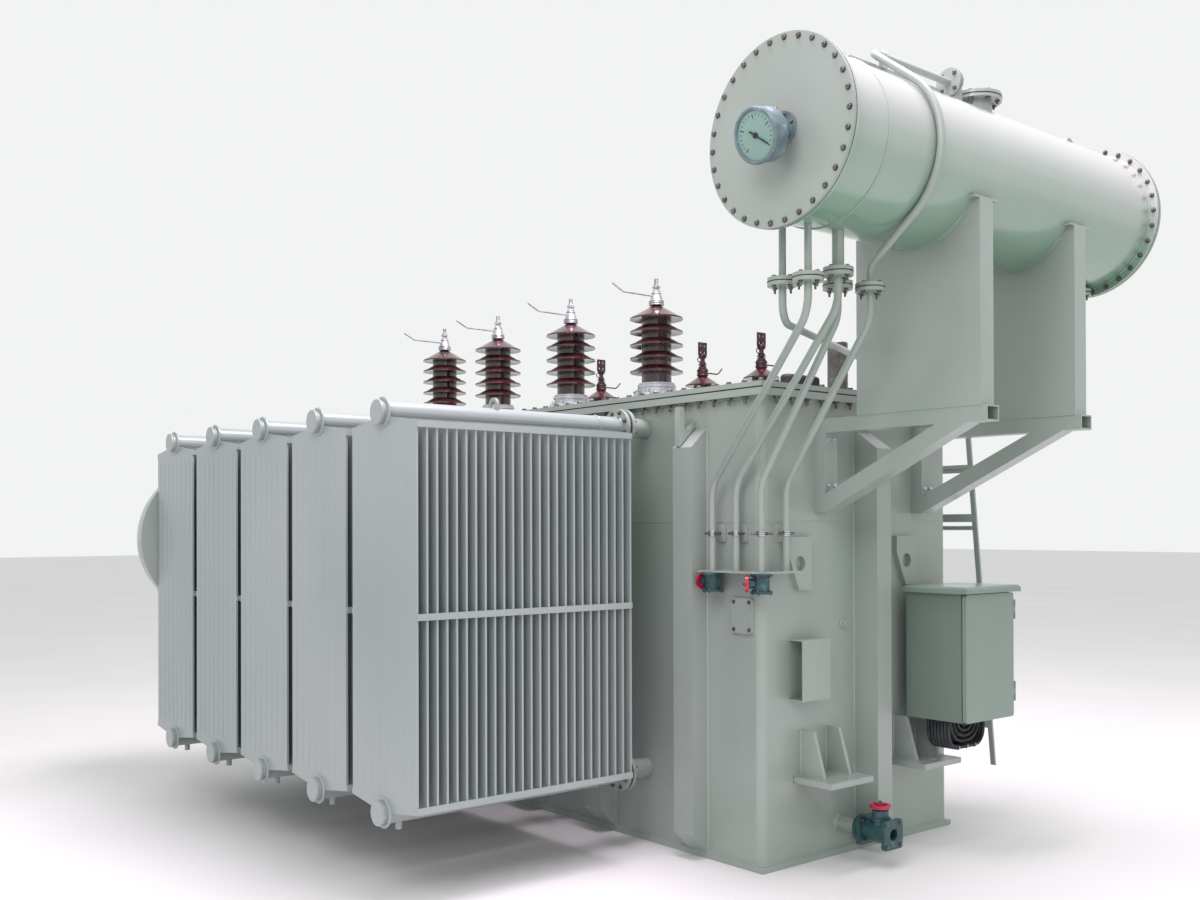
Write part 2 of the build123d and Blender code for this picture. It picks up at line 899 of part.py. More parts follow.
# Vent pipe from an elbow on the crown, along the top and round the drum to its drop flange
wrap = conservator_radius + vent_pipe_radius + vent_clearance
vent_z = drum_crown + vent_level
vent_drop = drop_places["d"]
vent_foot_z = conservator_z - drop_levels["d"] + drop_flange_height
vent_neck_z = vent_foot_z + vent_bend + vent_pipe_radius
top_angle = math.degrees(math.acos(wrap / (vent_z - conservator_z)))
low_angle = 180 - math.degrees(math.acos(wrap / (conservator_z - vent_neck_z)))
wrap_places = [drum_point(angle, wrap) for angle in (top_angle, (top_angle + low_angle) / 2, low_angle)]
wrap_points = [(x, vent_drop[1], z) for x, z in wrap_places]
vent_start = (conservator_x, vent_flange_place, vent_z)
elbow_turn = vent_flange_place + vent_elbow_run
with BuildPart() as vent_pipe:
    with BuildLine() as route:
        FilletPolyline(vent_start, (conservator_x, vent_drop[1], vent_z), wrap_points[0], radius=vent_bend)
        ThreePointArc(*wrap_points)
        FilletPolyline(
            wrap_points[2],
            (vent_drop[0], vent_drop[1], vent_neck_z),
            (vent_drop[0], vent_drop[1], vent_foot_z),
            radius=vent_bend,
        )
    with BuildSketch(Plane(origin=vent_start, z_dir=(0, -1, 0))):
        Circle(vent_pipe_radius)
    sweep(path=route.wires()[0])
    with BuildSketch(upright(conservator_x, vent_flange_place)):
        with Locations((0, vent_z)):
            Circle(vent_flange_radius)
    extrude(amount=-2 * vent_flange_thickness)
    with BuildLine() as elbow:
        FilletPolyline(
            (conservator_x, vent_flange_place, vent_z),
            (conservator_x, elbow_turn, vent_z),
            (conservator_x, elbow_turn, conservator_z),
            radius=vent_elbow_bend,
        )
    with BuildSketch(Plane(origin=vent_start, z_dir=(0, 1, 0))):
        Circle(vent_elbow_radius)
    sweep(path=elbow.wires()[0])
    with BuildSketch(Plane.XZ.offset(-shell_far)):
        with Locations((conservator_x, conservator_z)):
            Circle(conservator_radius)
    extrude(amount=shell_far - shell_near, mode=Mode.SUBTRACT)
keep(vent_pipe.part, "vent_pipe")

# Saddle plates with flanged edges under the conservator, and the pads that seat it
for name, y in saddle_places.items():
    web = y - (saddle_flange_width - saddle_sheet) / 2
    with BuildPart() as saddle:
        with BuildSketch(Plane.XZ.offset(-web - saddle_sheet / 2)):
            with BuildLine():
                Polyline(
                    (saddle_inner, arm_top),
                    (saddle_outer, arm_top),
                    (saddle_outer, saddle_top),
                    (saddle_inner, saddle_top),
                    close=True,
                )
            make_face()
            with Locations((conservator_x, conservator_z)):
                Circle(conservator_radius, mode=Mode.SUBTRACT)
        extrude(amount=saddle_sheet)
        for x in (saddle_inner, saddle_outer - saddle_sheet):
            with BuildSketch(Plane.YZ.offset(x)):
                with Locations((y, (arm_top + saddle_top) / 2)):
                    Rectangle(saddle_flange_width, saddle_top - arm_top)
            extrude(amount=saddle_sheet)
        with BuildSketch(Plane.XY.offset(saddle_top - saddle_pad_thickness)):
            for x in (saddle_inner + saddle_pad_length / 2, saddle_outer - saddle_pad_length / 2):
                with Locations((x, y)):
                    Rectangle(saddle_pad_length, saddle_pad_width)
        extrude(amount=saddle_pad_thickness)
        with BuildSketch(Plane.XZ.offset(-shell_far)):
            with Locations((conservator_x, conservator_z)):
                Circle(conservator_radius)
        extrude(amount=shell_far - shell_near, mode=Mode.SUBTRACT)
    keep(saddle.part, f"saddle_{name}")

# Tube brackets that carry the saddles, their arms open at the end
for name, y in saddle_places.items():
    with BuildPart() as bracket:
        with BuildSketch(Plane.XZ.offset(-y - arm_width / 2)):
            with BuildLine():
                Polyline(
                    (end_wall, brace_low - arm_size),
                    (end_wall + arm_size, brace_low - arm_size),
                    (brace_out, arm_top - arm_size),
                    (arm_end, arm_top - arm_size),
                    (arm_end, arm_top),
                    (end_wall, arm_top),
                    close=True,
                )
            make_face()
            with BuildLine():
                Polyline(
                    (end_wall + arm_size, brace_low + brace_heel),
                    (brace_out - arm_size - brace_width, arm_top - arm_size),
                    (end_wall + arm_size, arm_top - arm_size),
                    close=True,
                )
            make_face(mode=Mode.SUBTRACT)
        extrude(amount=arm_width)
        with BuildSketch(Plane.YZ.offset(arm_end)):
            with Locations((y, arm_top - arm_size / 2)):
                Rectangle(arm_width - 2 * arm_wall, arm_size - 2 * arm_wall)
        extrude(amount=-arm_pocket_depth, mode=Mode.SUBTRACT)
    keep(bracket.part, f"bracket_{name}")

# Pipes that run from the flanged drops down the near corner
with BuildPart() as oil_pipes:
    for run in pipe_feet:
        foot_x, foot_y = pipe_foot(run)
        drop_x, drop_y = drop_places[run]
        top = conservator_z - drop_levels[run]
        with BuildLine() as route:
            FilletPolyline(
                (foot_x, foot_y, ledge_level + ledge_thickness),
                (foot_x, foot_y, pipe_bend_level),
                (drop_x, drop_y, top - pipe_neck),
                (drop_x, drop_y, top),
                radius=pipe_bend,
            )
        with BuildSketch(Plane(origin=(foot_x, foot_y, ledge_level + ledge_thickness), z_dir=(0, 0, 1))):
            Circle(pipe_radius)
        sweep(path=route.wires()[0])
keep(oil_pipes.part, "oil_pipes")

# Flange pairs of the drops with their necks up to the drum, and a blank stub at the far end
far_stub = (conservator_x, conservator_near + far_stub_setback)
neck_radii = {"a": drop_neck_radius, "b": wide_neck_radius, "c": drop_neck_radius, "e": drop_neck_radius}
neck_places = [
    (*drop_places[run], conservator_z - drop_levels[run], neck_radii.get(run)) for run in drop_places
]
neck_places.append((*far_stub, conservator_z - far_stub_level, drop_neck_radius))
with BuildPart() as drop_flanges:
    for x, y, level, neck_radius in neck_places:
        with BuildSketch(Plane.XY.offset(level)):
            with Locations((x, y)):
                Circle(drop_flange_radius)
        extrude(amount=drop_flange_height)
        if neck_radius:
            with BuildSketch(Plane.XY.offset(level + drop_flange_height)):
                with Locations((x, y)):
                    Circle(neck_radius)
            extrude(amount=conservator_z - level - drop_flange_height)
    with BuildSketch(Plane.XZ.offset(-shell_far)):
        with Locations((conservator_x, conservator_z)):
            Circle(conservator_radius)
    extrude(amount=shell_far - shell_near, mode=Mode.SUBTRACT)
keep(drop_flanges.part, "drop_flanges")

# Relay pipe from its drop across to a flanged foot on the cover
relay_x, relay_y = drop_places["e"]
relay_top = conservator_z - drop_levels["e"]
relay_level = relay_top - relay_neck
with BuildPart() as relay_pipe:
    with BuildLine() as route:
        FilletPolyline(
            (relay_x, relay_y, relay_top),
            (relay_x, relay_y, relay_level),
            (*relay_end, relay_level),
            (*relay_end, tank_height),
            radius=relay_bend,
        )
    with BuildSketch(Plane(origin=(relay_x, relay_y, relay_top), z_dir=(0, 0, -1))):
        Circle(pipe_radius)
    sweep(path=route.wires()[0])
    with BuildSketch(Plane.XY.offset(tank_height)):
        with Locations(relay_end):
            Circle(relay_foot_radius)
    extrude(amount=relay_foot_thickness)
    for radius, height in ((post_flange_radius, post_flange_thickness), (post_radius, post_height)):
        with BuildSketch(Plane.XY.offset(tank_height)):
            with Locations(post_place):
                Circle(radius)
        extrude(amount=height)
keep(relay_pipe.part, "relay_pipe")

# Dark capsule lying on the cover beside the post
capsule_half = capsule_length / 2 - capsule_radius
with BuildPart() as cover_capsule:
    with BuildSketch(Plane.XY.offset(tank_height)):
        with Locations(capsule_place):
            SlotCenterToCenter(2 * capsule_half, 2 * capsule_radius, rotation=90)
    extrude(amount=2 * capsule_radius)
    fillet(cover_capsule.faces().sort_by(Axis.Z)[-1].edges(), radius=capsule_radius / 2)
keep(cover_capsule.part, "cover_capsule")

# Ledge round the near corner that the pipes stand on
ledge_end = end_wall + ledge_reach
ledge_front = -side_wall - ledge_reach
with BuildPart() as pipe_ledge:
    with BuildSketch(Plane.XY.offset(ledge_level)):
        with BuildLine():
            Polyline(
                (end_wall - ledge_side_run, -side_wall),
                (end_wall, -side_wall),
                (end_wall, ledge_end_run - side_wall),
                (ledge_end, ledge_end_run - side_wall),
                (ledge_end, ledge_front + ledge_chamfer),
                (ledge_end - ledge_chamfer, ledge_front),
                (end_wall - ledge_side_run, ledge_front),
                close=True,
            )
        make_face()
    extrude(amount=ledge_thickness)
keep(pipe_ledge.part, "pipe_ledge")


def valve_plane(run):
    """Upright plane under a pipe, its Z pointing along the wall to the handwheel."""
    x, y = pipe_foot(run)
    turn = math.radians(valve_turns[run])
    out = (math.cos(turn), -math.sin(turn), 0)
    along = (-math.sin(turn), -math.cos(turn), 0)
    return Plane(origin=(x, y, ledge_level - valve_height / 2), x_dir=out, z_dir=along)


# Gate valves under two of the pipes
with BuildPart() as pipe_valves:
    for run in valve_turns:
        plane = valve_plane(run)
        foot = pipe_foot(run)
        with BuildSketch(Plane.XY.offset(ledge_level - valve_height)):
            with Locations(foot):
                Circle(valve_body_radius)
        extrude(amount=valve_height)
        for level in (ledge_level - valve_height, ledge_level - valve_plate_thickness):
            with BuildSketch(Plane.XY.offset(level)):
                with Locations(foot):
                    Circle(valve_plate_radius)
            extrude(amount=valve_plate_thickness)
        with BuildSketch(plane):
            Circle(bonnet_radius)
        extrude(amount=bonnet_length)
        with BuildSketch(plane.offset(bonnet_length)):
            Circle(stem_radius)
        extrude(amount=wheel_lift + wheel_hub_length + stem_proud)
keep(pipe_valves.part, "pipe_valves")


def wheel_solid(plane, wheel_radius):
    """Spoked handwheel with its hub bored for the stem, standing on the plane."""
    spoke_end = wheel_radius - 2 * wheel_rim + spoke_overlap
    spoke_start = wheel_hub_radius - spoke_overlap
    with BuildPart() as wheel:
        with BuildSketch(plane):
            Circle(wheel_hub_radius)
            Circle(stem_radius + stem_slack, mode=Mode.SUBTRACT)
        extrude(amount=wheel_hub_length)
        with BuildSketch(plane):
            Circle(wheel_radius)
            Circle(wheel_radius - 2 * wheel_rim, mode=Mode.SUBTRACT)
        extrude(amount=2 * wheel_rim)
        with BuildSketch(plane):
            with PolarLocations((spoke_start + spoke_end) / 2, 4):
                Rectangle(spoke_end - spoke_start, wheel_rim)
        extrude(amount=wheel_rim)
    return wheel.part


for number, run in enumerate(valve_turns, start=1):
    wheel_plane = valve_plane(run).offset(bonnet_length + wheel_lift)
    keep(wheel_solid(wheel_plane, pipe_wheel_radius), f"pipe_handwheel_{number}")

# Drain valve at the foot of the near end: pipe, round flange, gate body between square flanges
drain_axis = Plane(origin=(end_wall, drain_place, drain_level), x_dir=(0, 1, 0), z_dir=(1, 0, 0))
drain_body_start = drain_reach - drain_body_length
drain_inlet_flange = drain_body_start + drain_flange_lap - drain_flange_thickness
drain_pipe_flange = drain_inlet_flange - drain_joint_gap - drain_flange_thickness
drain_middle = end_wall + drain_body_start + drain_body_length / 2
drain_wheel_level = drain_level + drain_wheel_height
drain_bonnet_top = drain_wheel_level - drain_bonnet_gap
with BuildPart() as drain_valve:
    with BuildSketch(drain_axis):
        Circle(drain_pipe_radius)
    extrude(amount=drain_body_start)
    with BuildSketch(drain_axis.offset(drain_pipe_flange)):
        Circle(drain_flange_size / 2)
    extrude(amount=drain_flange_thickness)
    for start in (drain_inlet_flange, drain_reach - drain_flange_thickness):
        with BuildSketch(drain_axis.offset(start)):
            RectangleRounded(drain_flange_size, drain_flange_size, drain_flange_corner)
        extrude(amount=drain_flange_thickness)
    with BuildSketch(drain_axis.offset(drain_body_start)):
        Circle(drain_body_radius)
    extrude(amount=drain_body_length - drain_flange_thickness)
    with BuildSketch(Plane.XY.offset(drain_level)):
        with Locations((drain_middle, drain_place)):
            Circle(drain_bonnet_radius)
    extrude(amount=drain_bonnet_top - drain_level)
    with BuildSketch(Plane.XY.offset(drain_bonnet_top)):
        with Locations((drain_middle, drain_place)):
            Circle(stem_radius)
    extrude(amount=drain_bonnet_gap + wheel_hub_length + drain_stem_proud)
    with BuildSketch(drain_axis.offset(drain_reach)):
        Circle(drain_bore_radius)
    extrude(amount=-drain_bore_depth, mode=Mode.SUBTRACT)
keep(drain_valve.part, "drain_valve")
drain_top = Plane(origin=(drain_middle, drain_place, drain_wheel_level), z_dir=(0, 0, 1))
keep(wheel_solid(drain_top, drain_wheel_radius), "drain_handwheel")

# Marshalling box, open at the front, with an overhanging roof and a hinged door
box_right = side_wall - box_inset
box_left = box_right - box_width
box_back = end_wall + box_stand_off
box_front = box_back + box_depth
box_height = box_share * (brace_low - arm_size - box_low)
box_high = box_low + box_height
box_middle = (box_left + box_right) / 2
hinge_levels = [box_low + hinge_inset, box_high - hinge_inset]
hinge_x = box_front + door_gap + door_sheet / 2
hinge_y = box_right + hinge_stand_off
door_right = box_right - door_side_gap
mount_lows = [box_low + box_mount_inset, box_high - box_mount_inset - box_mount_height]
with BuildPart() as box_body:
    with BuildSketch(Plane.XY.offset(box_low)):
        with Locations(((box_back + box_front) / 2, box_middle)):
            Rectangle(box_depth, box_width)
    extrude(amount=box_height)
    with BuildSketch(Plane.XY.offset(box_low + box_sheet)):
        with Locations((box_back + box_sheet + box_depth / 2, box_middle)):
            Rectangle(box_depth, box_width - 2 * box_sheet)
    extrude(amount=box_height - 2 * box_sheet, mode=Mode.SUBTRACT)
    with BuildSketch(*[Plane.XY.offset(low) for low in mount_lows]):
        with Locations(((end_wall + box_back) / 2, box_left + box_mount_setback + box_mount_width / 2)):
            Rectangle(box_stand_off, box_mount_width)
    extrude(amount=box_mount_height)
    for level in hinge_levels:
        with BuildSketch(*[Plane.XY.offset(level + step * knuckle_height) for step in (-1, 1)]):
            with Locations((hinge_x, hinge_y)):
                Circle(knuckle_radius)
            with Locations(((hinge_x + box_front - hinge_leaf_reach) / 2, box_right + hinge_leaf / 2)):
                Rectangle(hinge_x - box_front + hinge_leaf_reach, hinge_leaf)
        extrude(amount=knuckle_height - hinge_play)
        with BuildSketch(Plane.XY.offset(level - knuckle_height)):
            with Locations((hinge_x, hinge_y)):
                Circle(hinge_pin_radius)
        extrude(amount=3 * knuckle_height - hinge_play)
keep(box_body.part, "box_body")

roof_front = box_front + door_sheet + roof_overhang
with BuildPart() as box_roof:
    with BuildSketch(Plane.XY.offset(box_high)):
        with Locations(((box_back + roof_front) / 2, box_middle)):
            Rectangle(roof_front - box_back, box_width + 2 * roof_overhang)
    extrude(amount=roof_thickness)
    chamfer(box_roof.faces().sort_by(Axis.Z)[-1].edges(), length=roof_thickness / 3)
keep(box_roof.part, "box_roof")

with BuildPart() as box_door:
    with BuildSketch(Plane.YZ.offset(hinge_x - door_sheet / 2)):
        with Locations(((box_left + door_right) / 2, box_low + (box_height - door_gap) / 2)):
            RectangleRounded(door_right - box_left, box_height - door_gap, door_corner)
    extrude(amount=door_sheet)
    with BuildSketch(*[Plane.XY.offset(level) for level in hinge_levels]):
        with Locations((hinge_x, hinge_y)):
            Circle(knuckle_radius)
        with Locations((hinge_x + knuckle_radius / 2, (door_right + hinge_y) / 2)):
            Rectangle(knuckle_radius, hinge_y - door_right)
        with Locations((hinge_x, hinge_y)):
            Circle(hinge_pin_radius + hinge_slack, mode=Mode.SUBTRACT)
    extrude(amount=knuckle_height - hinge_play)
keep(box_door.part, "box_door")

# Cables that leave the box's floor, loop and go back into it
cable_left = box_left + cable_left_inset
cable_right = box_right - cable_right_inset
with BuildPart() as box_cables:
    for i in range(cable_count):
        cable_x = box_front - cable_setback - i * cable_pitch
        with BuildLine() as route:
            FilletPolyline(
                (cable_x, cable_left, box_low),
                (cable_x, cable_left, box_low - cable_drop),
                (cable_x, cable_right, box_low - cable_drop),
                (cable_x, cable_right, box_low),
                radius=cable_bend,
            )
        with BuildSketch(Plane(origin=(cable_x, cable_left, box_low), z_dir=(0, 0, -1))):
            Circle(cable_radius)
        sweep(path=route.wires()[0])
keep(box_cables.part, "box_cables")

# Leaning ladder on the far side, its stays standing on a stiffener and on the wall
ladder_top = tank_height - ladder_drop
ladder_place = end_wall + ladder_overhang
top_y = side_wall + ladder_stand_off
foot_y = top_y + (ladder_top - ladder_foot) * ladder_lean
stile_places = (ladder_place - ladder_width, ladder_place)
stay_levels = [ladder_foot + stay_foot_rise] + [ladder_top - drop for drop in stay_top_drops]
stay_place = end_wall - stay_inset
stiffener_face = side_wall + stiffener_depth
rung_count = int((ladder_top - ladder_foot) / rung_pitch) - 1
rung_length = ladder_width - stile_width - 2 * seat_slack


def stile_middle(level):
    """Distance of the stiles' middle from the tank's axis at a level."""
    return top_y + (ladder_top - level) * ladder_lean + stile_thickness / 2


with BuildPart() as ladder:
    for x in stile_places:
        with BuildSketch(Plane.YZ.offset(x - stile_width / 2)):
            with BuildLine():
                Polyline(
                    (top_y, ladder_top),
                    (top_y + stile_thickness, ladder_top),
                    (foot_y + stile_thickness, ladder_foot),
                    (foot_y, ladder_foot),
                    close=True,
                )
            make_face()
        extrude(amount=stile_width)
    for i in range(rung_count):
        level = ladder_foot + rung_pitch * (i + 1)
        with BuildSketch(Plane.YZ.offset(stile_places[0] + stile_width / 2 + seat_slack)):
            with Locations((stile_middle(level), level)):
                Circle(rung_radius)
        extrude(amount=rung_length)
    for level in stay_levels:
        stay_y = stile_middle(level)
        with BuildSketch(Plane.XY.offset(level)):
            for x, foot in ((stile_places[0], stiffener_face), (stay_place, side_wall)):
                with Locations((x, (foot + stay_y) / 2)):
                    Rectangle(stay_thickness, stay_y - foot)
            with Locations(((stay_place + ladder_place) / 2, stay_y - stay_thickness / 2)):
                Rectangle(ladder_place - stay_place + stay_thickness, stay_thickness)
        extrude(amount=-stay_height)
keep(ladder.part, "ladder")

# Round cowl against the side straps of the last radiator
fan_face = radiator_places[0] - strap_face
fan_level = header_high - fan_drop
fan_row = radiator_back - fan_setback
fan_slant = fan_radius * math.sqrt(0.5)
with BuildPart() as fan_cowl:
    with BuildSketch(upright(0, fan_row)):
        with BuildLine():
            ThreePointArc(
                (fan_face - fan_radius, fan_level),
                (fan_face - fan_slant, fan_level + fan_slant),
                (fan_face, fan_level + fan_radius),
            )
            Polyline(
                (fan_face, fan_level + fan_radius),
                (fan_face, fan_level),
                (fan_face - fan_radius, fan_level),
            )
        make_face()
    revolve(axis=Axis((0, fan_row, fan_level), (1, 0, 0)))
keep(fan_cowl.part, "fan_cowl")
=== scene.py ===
"""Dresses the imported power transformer: paint, porcelain and metal finishes, fasteners, welds, gaskets,
the gauge's dial, and the studio that it stands in. All lengths are in metres."""

import math

import bmesh
import bpy
from mathutils import Matrix, Vector


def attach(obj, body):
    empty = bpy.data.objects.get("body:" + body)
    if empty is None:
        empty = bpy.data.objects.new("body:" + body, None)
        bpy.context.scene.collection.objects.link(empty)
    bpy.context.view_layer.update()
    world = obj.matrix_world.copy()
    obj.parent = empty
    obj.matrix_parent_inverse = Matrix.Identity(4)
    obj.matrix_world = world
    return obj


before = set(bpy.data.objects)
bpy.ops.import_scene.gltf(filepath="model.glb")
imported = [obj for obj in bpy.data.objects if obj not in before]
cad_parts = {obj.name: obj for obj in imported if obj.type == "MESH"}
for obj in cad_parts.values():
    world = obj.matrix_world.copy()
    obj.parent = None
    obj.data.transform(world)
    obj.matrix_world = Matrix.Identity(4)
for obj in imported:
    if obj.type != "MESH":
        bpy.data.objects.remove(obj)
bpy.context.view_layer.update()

TANK = "transformer"

# Places that the solids have
END_WALL = 1.860
SIDE_WALL = 0.660
BASE_TOP = 0.025
RIM_LOW = 2.015
COVER_TOP = 2.073
COVER_HALF_LENGTH = 1.900
COVER_HALF_WIDTH = 0.700
CORNER_RADIUS = 0.040
CORNER_X = END_WALL - CORNER_RADIUS
CORNER_Y = SIDE_WALL - CORNER_RADIUS
STIFFENER_X = (-1.478, -0.8445, -0.2815, 0.2815, 0.8445, 1.478)
STIFFENER_HALF = 0.060
STIFFENER_TOP = 1.900
END_STIFFENER_HALF = 0.050
LUG_X = 1.451
RADIATOR_X = (-1.126, -0.563, 0.0, 0.563, 1.126)
FIN_FRONT = -2.0445
FIN_BACK = -0.9675
FIN_LOW = 0.370
FIN_HIGH = 1.870
HEADER_LOW = 0.338
HEADER_HIGH = 1.918
HEADER_RADIUS = 0.046
HEADER_FRONT = -2.0675
HEADER_BACK = -0.842
HV_X = (0.840, 0.140, -0.560, -1.150)
HV_Y = -0.330
HV_FLANGE_TOP = 2.107
HV_CAP = 2.5736
LV_X = (0.940, 0.493, 0.046, -0.401)
LV_Y = 0.330
LV_FLANGE_TOP = 2.095
LV_CAP = 2.303
DRUM_X = 2.400
DRUM_Z = 2.895
DRUM_RADIUS = 0.312
NEAR_FACE = -1.145
NEAR_FLANGE = -1.113
FAR_FLANGE = 1.008
FAR_FACE = 1.040
SADDLE_Y = (-0.281, 0.417)
ARM_TOP = 1.930
PIPE_FEET = {"a": (1.628, -0.718), "b": (1.757, -0.705), "c": (1.902, -0.705), "d": (1.903, -0.553)}
PIPE_TURNS = {"a": 90, "b": 90, "c": 45, "d": 0}
PIPE_STAND_OFFS = {"a": 0.058, "b": 0.045, "c": 0.076, "d": 0.043}
PIPE_RADIUS = 0.015
DROPS = (
    (2.400, -0.981, 2.368),
    (2.400, -0.809, 2.411),
    (2.320, -0.715, 2.383),
    (2.400, -0.617, 2.374),
    (2.250, -0.955, 2.377),
    (2.400, 0.940, 2.540),
)
FLANGE_HEIGHT = 0.032
BOX_LOW = 0.581
BOX_HIGH = 1.158
BOX_FRONT = 2.226
BOX_LEFT = 0.240
BOX_RIGHT = 0.624

# Axes by name
UP = Vector((0, 0, 1))
DOWN = -UP
ALONG_X = Vector((1, 0, 0))
ALONG_Y = Vector((0, 1, 0))


# Materials

def fresh_material(name):
    """Empty material with its node tree, its shader and the object's own coordinates."""
    material = bpy.data.materials.new(name)
    material.use_nodes = True
    tree = material.node_tree
    shader = tree.nodes["Principled BSDF"]
    place = tree.nodes.new("ShaderNodeTexCoord").outputs["Object"]
    return material, tree, shader, place


def noise(tree, place, scale, detail=4.0, stretch=(1, 1, 1)):
    """Grey noise at a scale in cycles a metre, stretched along the axes if asked."""
    mapping = tree.nodes.new("ShaderNodeMapping")
    mapping.inputs["Scale"].default_value = stretch
    tree.links.new(place, mapping.inputs["Vector"])
    texture = tree.nodes.new("ShaderNodeTexNoise")
    texture.inputs["Scale"].default_value = scale
    texture.inputs["Detail"].default_value = detail
    tree.links.new(mapping.outputs["Vector"], texture.inputs["Vector"])
    return texture.outputs["Fac"]


def ramp(tree, value, *stops):
    """Colour ramp through (position, colour) stops."""
    node = tree.nodes.new("ShaderNodeValToRGB")
    elements = node.color_ramp.elements
    while len(elements) < len(stops):
        elements.new(0.5)
    for element, (position, colour) in zip(elements, stops):
        element.position = position
        element.color = (*colour, 1)
    tree.links.new(value, node.inputs["Fac"])
    return node.outputs["Color"]


def spread(tree, value, low, high):
    """Noise value mapped from its usual middle range to a low and a high number."""
    node = tree.nodes.new("ShaderNodeMapRange")
    node.inputs["From Min"].default_value = 0.3
    node.inputs["From Max"].default_value = 0.7
    node.inputs["To Min"].default_value = low
    node.inputs["To Max"].default_value = high
    tree.links.new(value, node.inputs["Value"])
    return node.outputs["Result"]


def blend_colour(tree, factor, first, second):
    """Mix of two colours, each a socket or a plain colour."""
    node = tree.nodes.new("ShaderNodeMix")
    node.data_type = "RGBA"
    for socket, value in ((node.inputs["Factor"], factor), (node.inputs[6], first), (node.inputs[7], second)):
        if isinstance(value, bpy.types.NodeSocket):
            tree.links.new(value, socket)
        elif isinstance(value, tuple):
            socket.default_value = (*value, 1)
        else:
            socket.default_value = value
    return node.outputs[2]


def vary_roughness(tree, shader, value, low, high):
    """Roughness that drifts between two values."""
    tree.links.new(spread(tree, value, low, high), shader.inputs["Roughness"])


def add_bump(tree, shader, height, strength, distance):
    """Bump on the shader from a height value."""
    bump = tree.nodes.new("ShaderNodeBump")
    bump.inputs["Strength"].default_value = strength
    bump.inputs["Distance"].default_value = distance
    tree.links.new(height, bump.inputs["Height"])
    tree.links.new(bump.outputs["Normal"], shader.inputs["Normal"])


def rising(tree, place, low, high):
    """Value that runs from 0 at a low level to 1 at a high one."""
    split = tree.nodes.new("ShaderNodeSeparateXYZ")
    tree.links.new(place, split.inputs["Vector"])
    node = tree.nodes.new("ShaderNodeMapRange")
    node.inputs["From Min"].default_value = low
    node.inputs["From Max"].default_value = high
    tree.links.new(split.outputs["Z"], node.inputs["Value"])
    return node.outputs["Result"]


def enamel(name, main, shade, stain, gloss, coat, painted_underside_shade=None):
    """Sprayed gloss enamel: drifting tone, thin dirt runs and a fine orange peel.

    The painted underside shade gives a low and a high level and the tint below them, blended in between:
    painted shade with a painted green reflection from below, not a colour of the paint."""
    material, tree, shader, place = fresh_material(name)
    drift = ramp(tree, noise(tree, place, 1.1, 0.5), (0.30, shade), (0.70, main))
    runs = spread(tree, noise(tree, place, 6.0, 1.5, (1, 1, 0.08)), 0.0, 0.08)
    # Painted shade: a darker, greener tint on the lower part, blended in by height.
    if painted_underside_shade:
        low, high, shade_tint = painted_underside_shade
        drift = blend_colour(tree, rising(tree, place, low, high), shade_tint, drift)
    tree.links.new(blend_colour(tree, runs, drift, stain), shader.inputs["Base Color"])
    vary_roughness(tree, shader, noise(tree, place, 60.0, 1.0), gloss - 0.02, gloss + 0.03)
    shader.inputs["Coat Weight"].default_value = coat
    shader.inputs["Coat Roughness"].default_value = 0.16
    add_bump(tree, shader, noise(tree, place, 260.0, 2.0), 0.10, 0.0012)
    return material


def glaze(name, dark, bright):
    """Fired porcelain glaze: deep colour that thins to red at its drifts, with a hard gloss."""
    material, tree, shader, place = fresh_material(name)
    drift = ramp(tree, noise(tree, place, 14.0, 3.0), (0.35, dark), (0.72, bright))
    tree.links.new(drift, shader.inputs["Base Color"])
    vary_roughness(tree, shader, noise(tree, place, 40.0), 0.10, 0.22)
    shader.inputs["Coat Weight"].default_value = 0.6
    shader.inputs["Coat Roughness"].default_value = 0.06
    add_bump(tree, shader, noise(tree, place, 90.0, 2.0), 0.06, 0.001)
    return material


def bare_metal(name, main, tarnish, rough, scale, metallic=1.0):
    """Bare or plated metal with patchy tarnish and fine tool marks."""
    material, tree, shader, place = fresh_material(name)
    patches = ramp(tree, noise(tree, place, scale, 6.0), (0.40, main), (0.66, tarnish))
    tree.links.new(patches, shader.inputs["Base Color"])
    shader.inputs["Metallic"].default_value = metallic
    vary_roughness(tree, shader, noise(tree, place, scale * 2), rough - 0.08, rough + 0.16)
    add_bump(tree, shader, noise(tree, place, 420.0, 3.0), 0.12, 0.0006)
    return material


def casting(name, main, shade, rough):
    """Painted casting with a pebbled skin and paler worn spots."""
    material, tree, shader, place = fresh_material(name)
    worn = tuple(min(1.0, 2.4 * value + 0.03) for value in main)
    tone = ramp(tree, noise(tree, place, 26.0, 6.0), (0.36, shade), (0.60, main), (0.82, worn))
    tree.links.new(tone, shader.inputs["Base Color"])
    vary_roughness(tree, shader, noise(tree, place, 30.0), rough - 0.08, rough + 0.12)
    shader.inputs["Coat Weight"].default_value = 0.2
    add_bump(tree, shader, noise(tree, place, 130.0, 4.0), 0.30, 0.0012)
    return material


def rubber(name, main, dust):
    """Dull black rubber with a grey bloom of dust."""
    material, tree, shader, place = fresh_material(name)
    tone = ramp(tree, noise(tree, place, 18.0, 6.0), (0.45, main), (0.80, dust))
    tree.links.new(tone, shader.inputs["Base Color"])
    vary_roughness(tree, shader, noise(tree, place, 50.0), 0.50, 0.72)
    add_bump(tree, shader, noise(tree, place, 300.0, 3.0), 0.15, 0.0006)
    return material


